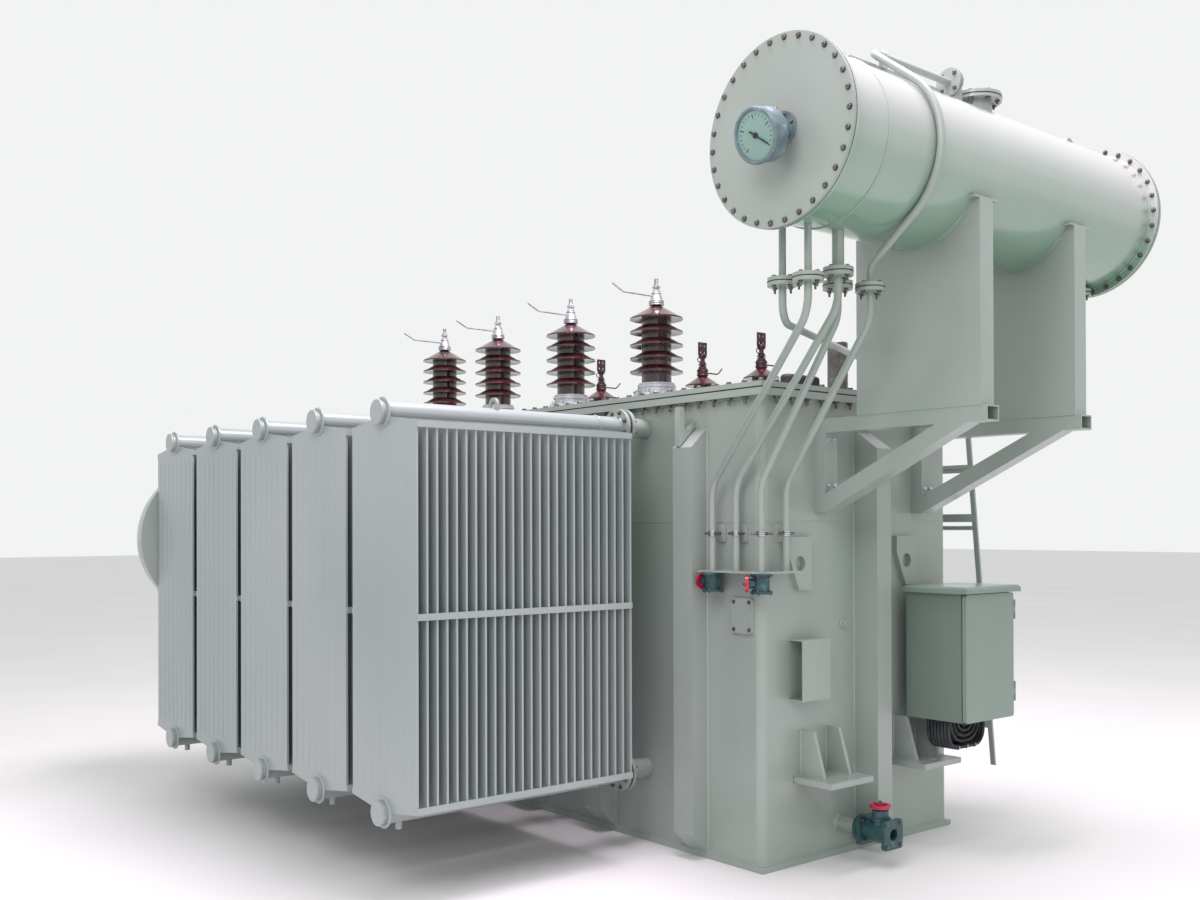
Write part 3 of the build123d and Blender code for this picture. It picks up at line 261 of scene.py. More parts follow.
PAINT = enamel(
    "tank_enamel", (0.330, 0.366, 0.344), (0.275, 0.330, 0.292), (0.170, 0.200, 0.170), 0.30, 0.30,
)
# The drum's lower side is painted darker and greener below 2.60 m, fading out by 3.00 m: painted shade and a
# painted green reflection from below.
DRUM_PAINT_WITH_SHADE = enamel(
    "drum_enamel_with_painted_shade", (0.425, 0.440, 0.435), (0.370, 0.410, 0.388), (0.250, 0.290, 0.260), 0.20, 0.90,
    painted_underside_shade=(2.60, 3.00, (0.190, 0.330, 0.240)),
)
FIN_PAINT = enamel(
    "fin_enamel", (0.330, 0.362, 0.368), (0.275, 0.325, 0.318), (0.180, 0.210, 0.195), 0.32, 0.25,
)
# The box body's enamel is darker than the door's: painted shade, for the box's side that stands in shade.
BOX_PAINT_WITH_SHADE = enamel(
    "box_enamel_with_painted_shade", (0.172, 0.218, 0.190), (0.148, 0.194, 0.165), (0.090, 0.112, 0.094), 0.34, 0.20,
)
DOOR_PAINT = enamel(
    "door_enamel", (0.212, 0.282, 0.242), (0.190, 0.258, 0.220), (0.115, 0.145, 0.125), 0.32, 0.25,
)
PORCELAIN = glaze("brown_glaze", (0.016, 0.008, 0.010), (0.085, 0.018, 0.022))
RED_PORCELAIN = glaze("red_glaze", (0.024, 0.008, 0.010), (0.090, 0.020, 0.022))
ZINC = bare_metal("zinc", (0.60, 0.60, 0.63), (0.38, 0.38, 0.42), 0.36, 40.0)
BOLT_STEEL = bare_metal("bolt_steel", (0.21, 0.19, 0.18), (0.12, 0.10, 0.095), 0.42, 70.0, 0.85)
BRIGHT_STEEL = bare_metal("bright_steel", (0.70, 0.70, 0.72), (0.48, 0.48, 0.50), 0.26, 60.0)
COPPER = bare_metal("copper", (0.115, 0.070, 0.080), (0.060, 0.036, 0.042), 0.36, 45.0)
RING_METAL = bare_metal("ring_metal", (0.56, 0.56, 0.60), (0.42, 0.43, 0.47), 0.40, 30.0, 0.5)
TEAL = casting("teal_casting", (0.022, 0.075, 0.082), (0.012, 0.045, 0.050), 0.36)
CRIMSON = casting("crimson_enamel", (0.520, 0.010, 0.055), (0.330, 0.006, 0.032), 0.30)
GAUGE_BODY = casting("gauge_enamel", (0.150, 0.215, 0.240), (0.105, 0.155, 0.175), 0.32)
DIAL = enamel(
    "dial_face", (0.215, 0.350, 0.310), (0.185, 0.310, 0.270), (0.140, 0.240, 0.210), 0.20, 0.80,
)
INK = rubber("dial_ink", (0.015, 0.020, 0.025), (0.030, 0.035, 0.040))
BLACK = rubber("black_rubber", (0.012, 0.012, 0.013), (0.045, 0.045, 0.045))
POST_PAINT = casting("post_paint", (0.100, 0.096, 0.088), (0.065, 0.062, 0.056), 0.40)
CABLE = rubber("cable_jacket", (0.014, 0.018, 0.022), (0.060, 0.065, 0.070))

NODE_FINISH = {
    "conservator_shell": DRUM_PAINT_WITH_SHADE,
    "cover_gasket": BLACK,
    "cover_capsule": BLACK,
    "box_cables": CABLE,
    "hv_terminals": ZINC,
    "lv_terminals": COPPER,
    "lv_bushings": RED_PORCELAIN,
    "bushing_flanges": RING_METAL,
    "radiator_valves": PAINT,
    "oil_gauge": GAUGE_BODY,
    "pipe_valves": TEAL,
    "drain_valve": TEAL,
    "pipe_handwheel_1": CRIMSON,
    "pipe_handwheel_2": CRIMSON,
    "drain_handwheel": CRIMSON,
    "box_body": BOX_PAINT_WITH_SHADE,
    "box_roof": DOOR_PAINT,
    "box_door": DOOR_PAINT,
}
FAMILY_FINISH = (("radiator_", FIN_PAINT), ("hv_bushing_", PORCELAIN))


def finish_of(node):
    """Material of a CAD node, by its own name or by its family."""
    if node in NODE_FINISH:
        return NODE_FINISH[node]
    for start, material in FAMILY_FINISH:
        if node.startswith(start):
            return material
    return PAINT


def finish_nodes():
    """Puts the better finish on every CAD node."""
    for name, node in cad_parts.items():
        node.data.materials.clear()
        node.data.materials.append(finish_of(name))


# Mesh helpers

SMOOTH_LIMIT = math.radians(32)


def across(axis):
    """Two directions square to an axis and to each other."""
    axis = Vector(axis).normalized()
    guide = ALONG_X if abs(axis.x) < 0.9 else ALONG_Y
    first = axis.cross(guide).normalized()
    return first, axis.cross(first).normalized()


def add_turned(mesh, place, axis, section, sides, turn=0.0, hollow=False):
    """Stack of polygon rings along an axis, from (radius, height) pairs.

    It is closed at both ends, or the last ring is joined to the first if it is hollow."""
    axis = Vector(axis).normalized()
    first, second = across(axis)
    rings = []
    for radius, height in section:
        middle = Vector(place) + axis * height
        ring = []
        for step in range(sides):
            angle = turn + 2 * math.pi * step / sides
            outward = math.cos(angle) * first + math.sin(angle) * second
            ring.append(mesh.verts.new(middle + radius * outward))
        rings.append(ring)
    pairs = list(zip(rings, rings[1:]))
    if hollow:
        pairs.append((rings[-1], rings[0]))
    for low, high in pairs:
        for step in range(sides):
            after = (step + 1) % sides
            mesh.faces.new((low[step], low[after], high[after], high[step]))
    if not hollow:
        mesh.faces.new(list(reversed(rings[0])))
        mesh.faces.new(rings[-1])


def add_tube(mesh, points, radius, sides=8, closed=False):
    """Round bar along a line of points, its ends closed unless the line runs back into itself."""
    points = [Vector(point) for point in points]
    count = len(points)
    rings = []
    side = None
    for index, point in enumerate(points):
        before = points[index - 1] if index or closed else points[0]
        after = points[(index + 1) % count] if index < count - 1 or closed else points[-1]
        heading = (after - before).normalized()
        if side is None:
            side = across(heading)[0]
        side = (side - heading * side.dot(heading)).normalized()
        other = heading.cross(side)
        ring = []
        for step in range(sides):
            angle = 2 * math.pi * step / sides
            outward = math.cos(angle) * side + math.sin(angle) * other
            ring.append(mesh.verts.new(point + radius * outward))
        rings.append(ring)
    pairs = list(zip(rings, rings[1:]))
    if closed:
        pairs.append((rings[-1], rings[0]))
    for low, high in pairs:
        for step in range(sides):
            following = (step + 1) % sides
            mesh.faces.new((low[step], low[following], high[following], high[step]))
    if not closed:
        mesh.faces.new(list(reversed(rings[0])))
        mesh.faces.new(rings[-1])


def add_block(mesh, middle, size, turn=None, bevel=0.0):
    """Block with bevelled edges, turned by a rotation matrix if given."""
    placing = Matrix.Translation(middle)
    if turn is not None:
        placing = placing @ turn.to_4x4()
    made = bmesh.ops.create_cube(mesh, size=1.0, matrix=placing @ Matrix.Diagonal((*size, 1)))
    if bevel:
        edges = list({edge for vert in made["verts"] for edge in vert.link_edges})
        bmesh.ops.bevel(mesh, geom=edges, offset=bevel, segments=2, profile=0.5, affect="EDGES")


def circle_points(middle, axis, radius, count, start=0.0, sweep=2 * math.pi):
    """Points round a circle, or along part of it."""
    first, second = across(axis)
    steps = count if sweep >= 2 * math.pi else count - 1
    angles = [start + sweep * step / steps for step in range(count)]
    return [Vector(middle) + radius * (math.cos(a) * first + math.sin(a) * second) for a in angles]


def add_head(mesh, place, axis, size, turn=0.0):
    """Washer and chamfered hexagon head, sitting on a face at the place."""
    washer = 0.18 * size
    add_turned(mesh, place, axis, ((1.10 * size, 0), (1.10 * size, washer)), 14)
    head = ((0.92 * size, washer), (0.92 * size, 0.66 * size), (0.78 * size, 0.80 * size))
    add_turned(mesh, place, axis, head, 6, turn)


def add_nut(mesh, place, axis, size, proud, turn=0.0):
    """Washer, nut and the end of its stud."""
    add_head(mesh, place, axis, size, turn)
    stud = ((0.48 * size, 0.5 * size), (0.48 * size, 0.8 * size + proud), (0.36 * size, 0.95 * size + proud))
    add_turned(mesh, place, axis, stud, 10)


def add_joint(mesh, place, axis, inner, outer, half, sides):
    """Flat ring between two flanges, as thick as two halves."""
    section = ((inner, -half), (outer, -half), (outer, half), (inner, half))
    add_turned(mesh, place, axis, section, sides, hollow=True)


def piece(name, mesh, material, body=TANK):
    """Object from a mesh, shaded smooth up to a limit, riding on its body."""
    data = bpy.data.meshes.new(name)
    bmesh.ops.recalc_face_normals(mesh, faces=mesh.faces)
    mesh.to_mesh(data)
    mesh.free()
    data.materials.append(material)
    data.shade_smooth()
    data.set_sharp_from_angle(angle=SMOOTH_LIMIT)
    obj = bpy.data.objects.new(name, data)
    bpy.context.scene.collection.objects.link(obj)
    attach(obj, body)
    return obj


def spaced(low, high, pitch):
    """Places from low to high at about a pitch, both ends among them."""
    count = max(1, round((high - low) / pitch))
    return [low + (high - low) * step / count for step in range(count + 1)]


# Tank

COVER_BOLT = 0.014
COVER_BOLT_PITCH = 0.095
COVER_BOLT_INSET = 0.020
COVER_STUD = 0.018
COVER_BOLT_TURN = 0.7
LUG_CLEARANCE = 0.04


def cover_bolt_places():
    """Bolt places round the cover's edge."""
    x_edge = COVER_HALF_LENGTH - COVER_BOLT_INSET
    y_edge = COVER_HALF_WIDTH - COVER_BOLT_INSET
    places = [(x, side * y_edge) for side in (1, -1) for x in spaced(-x_edge, x_edge, COVER_BOLT_PITCH)]
    inner = spaced(-y_edge, y_edge, COVER_BOLT_PITCH)[1:-1]
    return places + [(end * x_edge, y) for end in (1, -1) for y in inner]


def cover_bolts():
    """Heads on the cover and nuts that hang under the rim."""
    mesh = bmesh.new()
    for index, (x, y) in enumerate(cover_bolt_places()):
        turn = index * COVER_BOLT_TURN
        add_head(mesh, (x, y, COVER_TOP), UP, COVER_BOLT, turn)
        if abs(abs(x) - LUG_X) > LUG_CLEARANCE:
            add_nut(mesh, (x, y, RIM_LOW), DOWN, COVER_BOLT, COVER_STUD, turn)
    piece("cover_bolts", mesh, BOLT_STEEL)


CORNER_STEPS = 8


def tank_outline(grow, level):
    """Rounded outline of the tank at a level, grown outwards."""
    points = []
    radius = CORNER_RADIUS + grow
    for start, x, y in ((0, 1, 1), (90, -1, 1), (180, -1, -1), (270, 1, -1)):
        for step in range(CORNER_STEPS + 1):
            angle = math.radians(start + step * 90 / CORNER_STEPS)
            across_x, across_y = radius * math.cos(angle), radius * math.sin(angle)
            points.append((x * CORNER_X + across_x, y * CORNER_Y + across_y, level))
    return points


WELD = 0.006
WELD_SIDES = 6
SEAM_WELD = 0.0026
SEAM_LEVEL = 1.484


def tank_welds():
    """Weld beads at the tank's foot, under the rim, beside the stiffeners and along the wall's seam."""
    mesh = bmesh.new()
    add_tube(mesh, tank_outline(0.001, BASE_TOP + 0.002), WELD, WELD_SIDES, True)
    add_tube(mesh, tank_outline(0.001, RIM_LOW - 0.002), WELD, WELD_SIDES, True)
    add_tube(mesh, tank_outline(-0.001, SEAM_LEVEL), SEAM_WELD, WELD_SIDES, True)
    for side in (1, -1):
        for x in STIFFENER_X:
            for edge in (-STIFFENER_HALF, STIFFENER_HALF):
                line = [(x + edge, side * SIDE_WALL, BASE_TOP), (x + edge, side * SIDE_WALL, STIFFENER_TOP)]
                add_tube(mesh, line, WELD, WELD_SIDES)
    for end in (1, -1):
        for edge in (-END_STIFFENER_HALF, END_STIFFENER_HALF):
            line = [(end * END_WALL, edge, BASE_TOP), (end * END_WALL, edge, STIFFENER_TOP)]
            add_tube(mesh, line, WELD, WELD_SIDES)
    piece("tank_welds", mesh, PAINT)


PAD_Y = 0.325
PAD_LOW = 0.357
PAD_TOP = 0.382
PAD_HALF = 0.140
GUSSET_SPREAD = 0.084
GUSSET_HALF = 0.009
GUSSET_REACH = 0.128
GUSSET_RISE = 0.197
GUSSET_WELD = 0.005


def pad_welds():
    """Beads between the jacking pads, their gussets and the end walls."""
    mesh = bmesh.new()
    for end in (1, -1):
        wall = end * END_WALL
        for pad in (PAD_Y, -PAD_Y):
            for level in (PAD_LOW, PAD_TOP):
                line = [(wall, pad - PAD_HALF, level), (wall, pad + PAD_HALF, level)]
                add_tube(mesh, line, WELD, WELD_SIDES)
            for spread_y in (-GUSSET_SPREAD, GUSSET_SPREAD):
                for face in (-GUSSET_HALF, GUSSET_HALF):
                    y = pad + spread_y + face
                    outer = (end * (END_WALL + GUSSET_REACH), y, PAD_TOP)
                    line = [outer, (wall, y, PAD_TOP), (wall, y, PAD_TOP + GUSSET_RISE)]
                    add_tube(mesh, line, GUSSET_WELD, WELD_SIDES)
    piece("pad_welds", mesh, PAINT)


BLANK_MIDDLE = Vector((1.756, -0.674, 1.080))
BLANK_SHIFT = 0.045
BLANK_RISE = 0.059
BLANK_BOLT = 0.008


def blank_plate_bolts():
    """Four bolts at the corners of the blank plate beside the near corner."""
    mesh = bmesh.new()
    for shift in (-BLANK_SHIFT, BLANK_SHIFT):
        for rise in (-BLANK_RISE, BLANK_RISE):
            add_head(mesh, BLANK_MIDDLE + ALONG_X * shift + UP * rise, -ALONG_Y, BLANK_BOLT)
    piece("blank_plate_bolts", mesh, BOLT_STEEL)


POST_FACE = 1.922
POST_BOLT_LEVELS = (1.640, 1.840)
POST_BOLT = 0.009
ARM_BOLT_X = (2.135, 2.665)
ARM_BOLT = 0.008
ARM_BOLT_SIDE = 0.022
PLUG = Vector((END_WALL, -0.131, 1.027))


def bracket_bolts():
    """Bolts through the bracket posts into the end wall, and through the saddles into the arms."""
    mesh = bmesh.new()
    for y in SADDLE_Y:
        for side in (-ARM_BOLT_SIDE, ARM_BOLT_SIDE):
            for level in POST_BOLT_LEVELS:
                add_head(mesh, (POST_FACE, y + side, level), ALONG_X, POST_BOLT)
            for x in ARM_BOLT_X:
                add_head(mesh, (x, y + side, ARM_TOP), UP, ARM_BOLT)
    piece("bracket_bolts", mesh, BRIGHT_STEEL)


def wall_plug():
    """Small screwed plug in the end wall."""
    mesh = bmesh.new()
    add_turned(mesh, PLUG, ALONG_X, ((0.024, 0), (0.024, 0.006), (0.021, 0.009)), 24)
    add_head(mesh, PLUG + ALONG_X * 0.007, ALONG_X, 0.015)
    piece("wall_plug", mesh, PAINT)


# Radiators

FLUTE_COUNT = 8
FLUTE_PITCH = 0.060
FLUTE_END = 0.035
FLUTE_FULL = 0.075
FLUTE_FADE = 0.2
FLUTE_SECTION = ((-0.011, -0.0005), (-0.006, 0.0022), (0.0, 0.0032), (0.006, 0.0022), (0.011, -0.0005))
HEADER_WELD = 0.005
HEADER_COLLAR = ((0.047, 0), (0.062, 0), (0.062, 0.004), (0.058, 0.007), (0.047, 0.007))


def add_flute(mesh, x, face, outward):
    """One pressed rib on a radiator panel, fading out at its two ends."""
    levels = (
        (FIN_LOW + FLUTE_END, FLUTE_FADE),
        (FIN_LOW + FLUTE_FULL, 1.0),
        (FIN_HIGH - FLUTE_FULL, 1.0),
        (FIN_HIGH - FLUTE_END, FLUTE_FADE),
    )
    rows = []
    for level, share in levels:
        rows.append([
            mesh.verts.new((x + shift * share, face + outward * rise * share, level))
            for shift, rise in FLUTE_SECTION
        ])
    for low, high in zip(rows, rows[1:]):
        for left in range(len(FLUTE_SECTION) - 1):
            mesh.faces.new((low[left], low[left + 1], high[left + 1], high[left]))
    for row in (rows[0], rows[-1]):
        mesh.faces.new(row)


def radiator_dress():
    """Pressed ribs on the outer panels, and weld rings and collars round the headers."""
    ribs = bmesh.new()
    beads = bmesh.new()
    for x in RADIATOR_X:
        for step in range(FLUTE_COUNT):
            shift = (step - (FLUTE_COUNT - 1) / 2) * FLUTE_PITCH
            add_flute(ribs, x + shift, FIN_FRONT, -1)
            add_flute(ribs, x + shift, FIN_BACK, 1)
        for level in (HEADER_LOW, HEADER_HIGH):
            for face in (FIN_FRONT, FIN_BACK, HEADER_FRONT, HEADER_BACK):
                ring = circle_points((x, face, level), ALONG_Y, HEADER_RADIUS, 28)
                add_tube(beads, ring, HEADER_WELD, WELD_SIDES, True)
            add_turned(beads, (x, FIN_FRONT, level), -ALONG_Y, HEADER_COLLAR, 32, hollow=True)
    piece("radiator_ribs", ribs, FIN_PAINT)
    piece("radiator_welds", beads, FIN_PAINT)


VALVE_RING = ((0.047, 0), (0.080, 0), (0.082, 0.006), (0.080, 0.012), (0.047, 0.012))
VALVE_WALL_SIDE = -0.791
VALVE_PANEL_SIDE = -0.841
VALVE_RING_Y = -0.822
VALVE_CIRCLE = 0.068
VALVE_STUD = 0.010


def radiator_valve_bolts():
    """Studs through each pair of shut off flanges, and the dark valve rings between them."""
    studs = bmesh.new()
    rings = bmesh.new()
    for x in RADIATOR_X:
        for level in (HEADER_LOW, HEADER_HIGH):
            for place in circle_points((x, 0, level), ALONG_Y, VALVE_CIRCLE, 8, math.pi / 8):
                add_nut(studs, (place.x, VALVE_WALL_SIDE, place.z), ALONG_Y, VALVE_STUD, 0.012)
                add_nut(studs, (place.x, VALVE_PANEL_SIDE, place.z), -ALONG_Y, VALVE_STUD, 0.004)
            add_turned(rings, (x, VALVE_RING_Y, level), ALONG_Y, VALVE_RING, 32, hollow=True)
    piece("radiator_valve_bolts", studs, BOLT_STEEL)
    piece("radiator_valve_rings", rings, BLACK)


# Bushings

HV_CLAMPS = 8
HV_CLAMP_CIRCLE = 0.104
CLAMP_SIZE = (0.026, 0.034, 0.022)
LV_BOLT_CIRCLE = 0.074
THREADS = 9
THREAD_PITCH = 0.003


def bushing_bases():
    """Clamp fingers and their bolts on the high voltage flanges, and bolts on the low voltage ones."""
    clamps = bmesh.new()
    bolts = bmesh.new()
    for x in HV_X:
        for step in range(HV_CLAMPS):
            angle = (2 * step + 1) * math.pi / HV_CLAMPS
            out = Vector((math.cos(angle), math.sin(angle), 0))
            turn = Matrix.Rotation(angle, 3, "Z")
            foot = Vector((x, HV_Y, HV_FLANGE_TOP)) + out * HV_CLAMP_CIRCLE
            add_block(clamps, foot + UP * CLAMP_SIZE[2] / 2, CLAMP_SIZE, turn, 0.003)
            add_nut(bolts, foot + UP * CLAMP_SIZE[2], UP, 0.009, 0.010, angle)
        ring = ((0.089, 0.050), (0.0965, 0.052), (0.0965, 0.064), (0.089, 0.068))
        add_turned(clamps, (x, HV_Y, HV_FLANGE_TOP), UP, ring, 48, hollow=True)
    for x in LV_X:
        for place in circle_points((x, LV_Y, LV_FLANGE_TOP), UP, LV_BOLT_CIRCLE, 6, 0.3):
            add_nut(bolts, place, UP, 0.008, 0.006)
    piece("bushing_clamps", clamps, RING_METAL)
    piece("bushing_bolts", bolts, BRIGHT_STEEL)


def terminal_dress():
    """Ring grooves and nuts on the high voltage caps, nuts and a hook loop on the low voltage stems."""
    zinc = bmesh.new()
    copper = bmesh.new()
    hooks = bmesh.new()
    for x in HV_X:
        middle = (x, HV_Y, HV_CAP)
        for level, radius in ((0.004, 0.036), (0.013, 0.036), (0.022, 0.036), (0.062, 0.023)):
            add_tube(zinc, circle_points(Vector(middle) + UP * level, UP, radius, 28), 0.0032, 8, True)
        add_head(zinc, (x, HV_Y, HV_CAP + 0.066), UP, 0.020, 0.3)
        add_head(zinc, (x, HV_Y, HV_CAP + 0.090), UP, 0.020, 0.8)
        thread = []
        for step in range(THREADS):
            rise = 0.108 + step * THREAD_PITCH
            thread += [(0.0098, rise), (0.0112, rise + THREAD_PITCH / 2)]
        add_turned(zinc, middle, UP, thread, 14)
    for x in LV_X:
        middle = Vector((x, LV_Y, LV_CAP))
        for level in (0.006, 0.030):
            add_tube(copper, circle_points(middle + UP * level, UP, 0.0305, 24), 0.003, 8, True)
        add_head(copper, middle + UP * 0.038, UP, 0.024, 0.2)
        add_head(copper, middle + UP * 0.062, UP, 0.022, 0.9)
        add_turned(copper, middle, UP, ((0.019, 0.100), (0.022, 0.106), (0.022, 0.118), (0.016, 0.124)), 24)
        loop = circle_points(middle + Vector((0, -0.024, 0.092)), ALONG_X, 0.014, 13, 0.6, 5.0)
        add_tube(hooks, loop, 0.003, 8)
    piece("hv_cap_rings", zinc, ZINC)
    piece("lv_stem_nuts", copper, COPPER)
    piece("lv_hooks", hooks, BOLT_STEEL)


# Conservator

COVER_RING_BOLTS = 30
COVER_RING_RADIUS = 0.331
COVER_RING_BOLT = 0.0105
COVER_JOINTS = (-1.129, 1.024)
FIRST_COURSE = -0.900
SADDLE_FACES = (-0.045, -0.035)
SADDLE_REACH = 0.16
SADDLE_WELD = 0.005


def conservator_bolts():
    """Bolts round the two end covers, heads outside and nuts behind the flanges."""
    mesh = bmesh.new()
    half_step = math.pi / COVER_RING_BOLTS
    for place in circle_points((DRUM_X, 0, DRUM_Z), ALONG_Y, COVER_RING_RADIUS, COVER_RING_BOLTS, half_step):
        for face, axis in ((NEAR_FACE, -ALONG_Y), (FAR_FACE, ALONG_Y)):
            add_head(mesh, (place.x, face, place.z), axis, COVER_RING_BOLT, place.x)
        for face, axis in ((NEAR_FLANGE, ALONG_Y), (FAR_FLANGE, -ALONG_Y)):
            add_nut(mesh, (place.x, face, place.z), axis, COVER_RING_BOLT, 0.004, place.z)
    piece("conservator_bolts", mesh, BOLT_STEEL)


def conservator_seams():
    """Weld rings of the drum's first course, flanges and saddles, and the dark joint of each cover."""
    beads = bmesh.new()
    joints = bmesh.new()
    for place, size in ((FIRST_COURSE, 0.0045), (NEAR_FLANGE + 0.001, WELD), (FAR_FLANGE - 0.001, WELD)):
        ring = circle_points((DRUM_X, place, DRUM_Z), ALONG_Y, DRUM_RADIUS, 72)
        add_tube(beads, ring, size, WELD_SIDES, True)
    for place in COVER_JOINTS:
        add_joint(joints, (DRUM_X, place, DRUM_Z), ALONG_Y, 0.340, 0.3496, 0.0015, 72)
    for y in SADDLE_Y:
        for side in SADDLE_FACES:
            arc = circle_points((DRUM_X, y + side, DRUM_Z), ALONG_Y, DRUM_RADIUS, 36)
            low = [point for point in arc if point.z < DRUM_Z - SADDLE_REACH]
            low.sort(key=lambda point: point.x)
            add_tube(beads, low, SADDLE_WELD, WELD_SIDES)
    piece("conservator_welds", beads, DRUM_PAINT_WITH_SHADE)
    piece("conservator_joints", joints, BLACK)


VENT_LEVEL = 3.315
VENT_FLANGE_FACES = (-0.094, -0.068)
VENT_JOINT = -0.081
HATCH = Vector((DRUM_X, 0.102, 3.267))
HATCH_HEIGHT = 0.030
RELAY_FOOT = (1.776, 0.135, 2.089)
POST = (1.700, 0.035)
POST_PLATE_TOP = 2.089


def flange_bolts():
    """Bolts on the drops, vent, hatch, relay's foot and post, and the dark joints of the first three."""
    bolts = bmesh.new()
    joints = bmesh.new()
    for x, y, level in DROPS:
        for place in circle_points((x, y, level), UP, 0.043, 4, math.pi / 4 + x):
            add_head(bolts, place + UP * FLANGE_HEIGHT, UP, 0.009)
            add_nut(bolts, place, DOWN, 0.009, 0.014)
        add_joint(joints, (x, y, level + FLANGE_HEIGHT / 2), UP, 0.050, 0.0588, 0.002, 32)
    for place in circle_points((DRUM_X, 0, VENT_LEVEL), ALONG_Y, 0.044, 4, math.pi / 4):
        add_head(bolts, (place.x, VENT_FLANGE_FACES[0], place.z), -ALONG_Y, 0.009)
        add_nut(bolts, (place.x, VENT_FLANGE_FACES[1], place.z), ALONG_Y, 0.009, 0.006)
    add_joint(joints, (DRUM_X, VENT_JOINT, VENT_LEVEL), ALONG_Y, 0.050, 0.0597, 0.0012, 32)
    for place in circle_points(HATCH, UP, 0.092, 8, math.pi / 8):
        add_head(bolts, place + UP * HATCH_HEIGHT, UP, 0.010)
        add_nut(bolts, place, DOWN, 0.010, 0.006)
    add_joint(joints, HATCH + UP * HATCH_HEIGHT / 2, UP, 0.100, 0.1112, 0.002, 48)
    for place in circle_points(RELAY_FOOT, UP, 0.040, 4, 0.5):
        add_nut(bolts, place, UP, 0.008, 0.006)
    for place in circle_points((*POST, POST_PLATE_TOP), UP, 0.053, 6, 0.2):
        add_nut(bolts, place, UP, 0.006, 0.004)
    piece("flange_bolts", bolts, BOLT_STEEL)
    piece("flange_joints", joints, BLACK)


def post_sleeve():
    """Dark sleeve and cap over the post on the cover."""
    mesh = bmesh.new()
    section = ((0.0452, 0.017), (0.0475, 0.017), (0.0475, 0.243), (0.0440, 0.2475), (0.0100, 0.2475))
    add_turned(mesh, (*POST, COVER_TOP), UP, section, 32)
    piece("post_sleeve", mesh, POST_PAINT)


def vent_clamp():
    """Clamp on the ridge bar that holds the vent pipe."""
    mesh = bmesh.new()
    place = Vector((DRUM_X, -0.536, VENT_LEVEL))
    ring = circle_points(place, ALONG_Y, 0.0175, 20)
    for shift in (-0.009, 0.0, 0.009):
        add_tube(mesh, [point + ALONG_Y * shift for point in ring], 0.0045, 6, True)
    add_block(mesh, place - UP * 0.030, (0.012, 0.024, 0.032), bevel=0.002)
    add_block(mesh, place - UP * 0.046, (0.034, 0.034, 0.008), bevel=0.002)
    piece("vent_clamp", mesh, DRUM_PAINT_WITH_SHADE)


GAUGE_TILT = math.radians(15)
GAUGE_X = 2.431
DIAL_MIDDLE = Vector((GAUGE_X, -1.290, 2.841))
BEZEL = ((0.084, -0.004), (0.098, -0.010), (0.100, -0.004), (0.100, 0.006), (0.095, 0.011), (0.087, 0.009))
DIAL_START = -130
TICKS = 21
TICK_STEP = 13
LONG_TICK = 5
NEEDLE_ANGLE = math.radians(128)


def gauge_dress():
    """Bezel, dial face with its ticks and needle, flange bolts and the red terminal on top of the gauge."""
    out = Vector((0, -math.cos(GAUGE_TILT), -math.sin(GAUGE_TILT)))
    rise = Vector((0, -math.sin(GAUGE_TILT), math.cos(GAUGE_TILT)))
    bezel = bmesh.new()
    add_turned(bezel, DIAL_MIDDLE, out, BEZEL, 48, hollow=True)
    piece("gauge_bezel", bezel, GAUGE_BODY)
    face = bmesh.new()
    add_turned(face, DIAL_MIDDLE, out, ((0.086, -0.002), (0.086, 0.0015), (0.080, 0.0025)), 48)
    piece("gauge_dial", face, DIAL)
    marks = bmesh.new()
    for step in range(TICKS):
        angle = math.radians(DIAL_START + TICK_STEP * step)
        heading = rise * math.cos(angle) + ALONG_X * math.sin(angle)
        start, thick = (0.058, 0.0016) if step % LONG_TICK == 0 else (0.066, 0.001)
        middle = DIAL_MIDDLE + out * 0.003
        add_tube(marks, [middle + heading * start, middle + heading * 0.074], thick, 4)
    needle = rise * math.cos(NEEDLE_ANGLE) + ALONG_X * math.sin(NEEDLE_ANGLE)
    pivot = DIAL_MIDDLE + out * 0.007
    add_tube(marks, [pivot - needle * 0.030, pivot + needle * 0.062], 0.0026, 6)
    add_turned(marks, DIAL_MIDDLE, out, ((0.010, 0.002), (0.010, 0.008), (0.006, 0.011)), 16)
    piece("gauge_marks", marks, INK)
    bolts = bmesh.new()
    for place in circle_points((GAUGE_X, -1.159, 2.893), ALONG_Y, 0.050, 6, 0.3):
        add_head(bolts, place, -ALONG_Y, 0.007)
    piece("gauge_bolts", bolts, BOLT_STEEL)
    red = bmesh.new()
    add_block(red, (GAUGE_X, -1.190, 2.938), (0.030, 0.026, 0.024), bevel=0.003)
    add_turned(red, (GAUGE_X, -1.190, 2.948), UP, ((0.009, 0), (0.009, 0.010), (0.006, 0.014)), 12)
    piece("gauge_terminal", red, CRIMSON)


# Pipes and valves

DRAIN = Vector((2.090, -0.165, 0.140))
DRAIN_FLANGE_BOLT = 0.047
VALVE_PLATES = (1.181, 1.191, 1.255)

CLAMP_LEVEL = 1.432


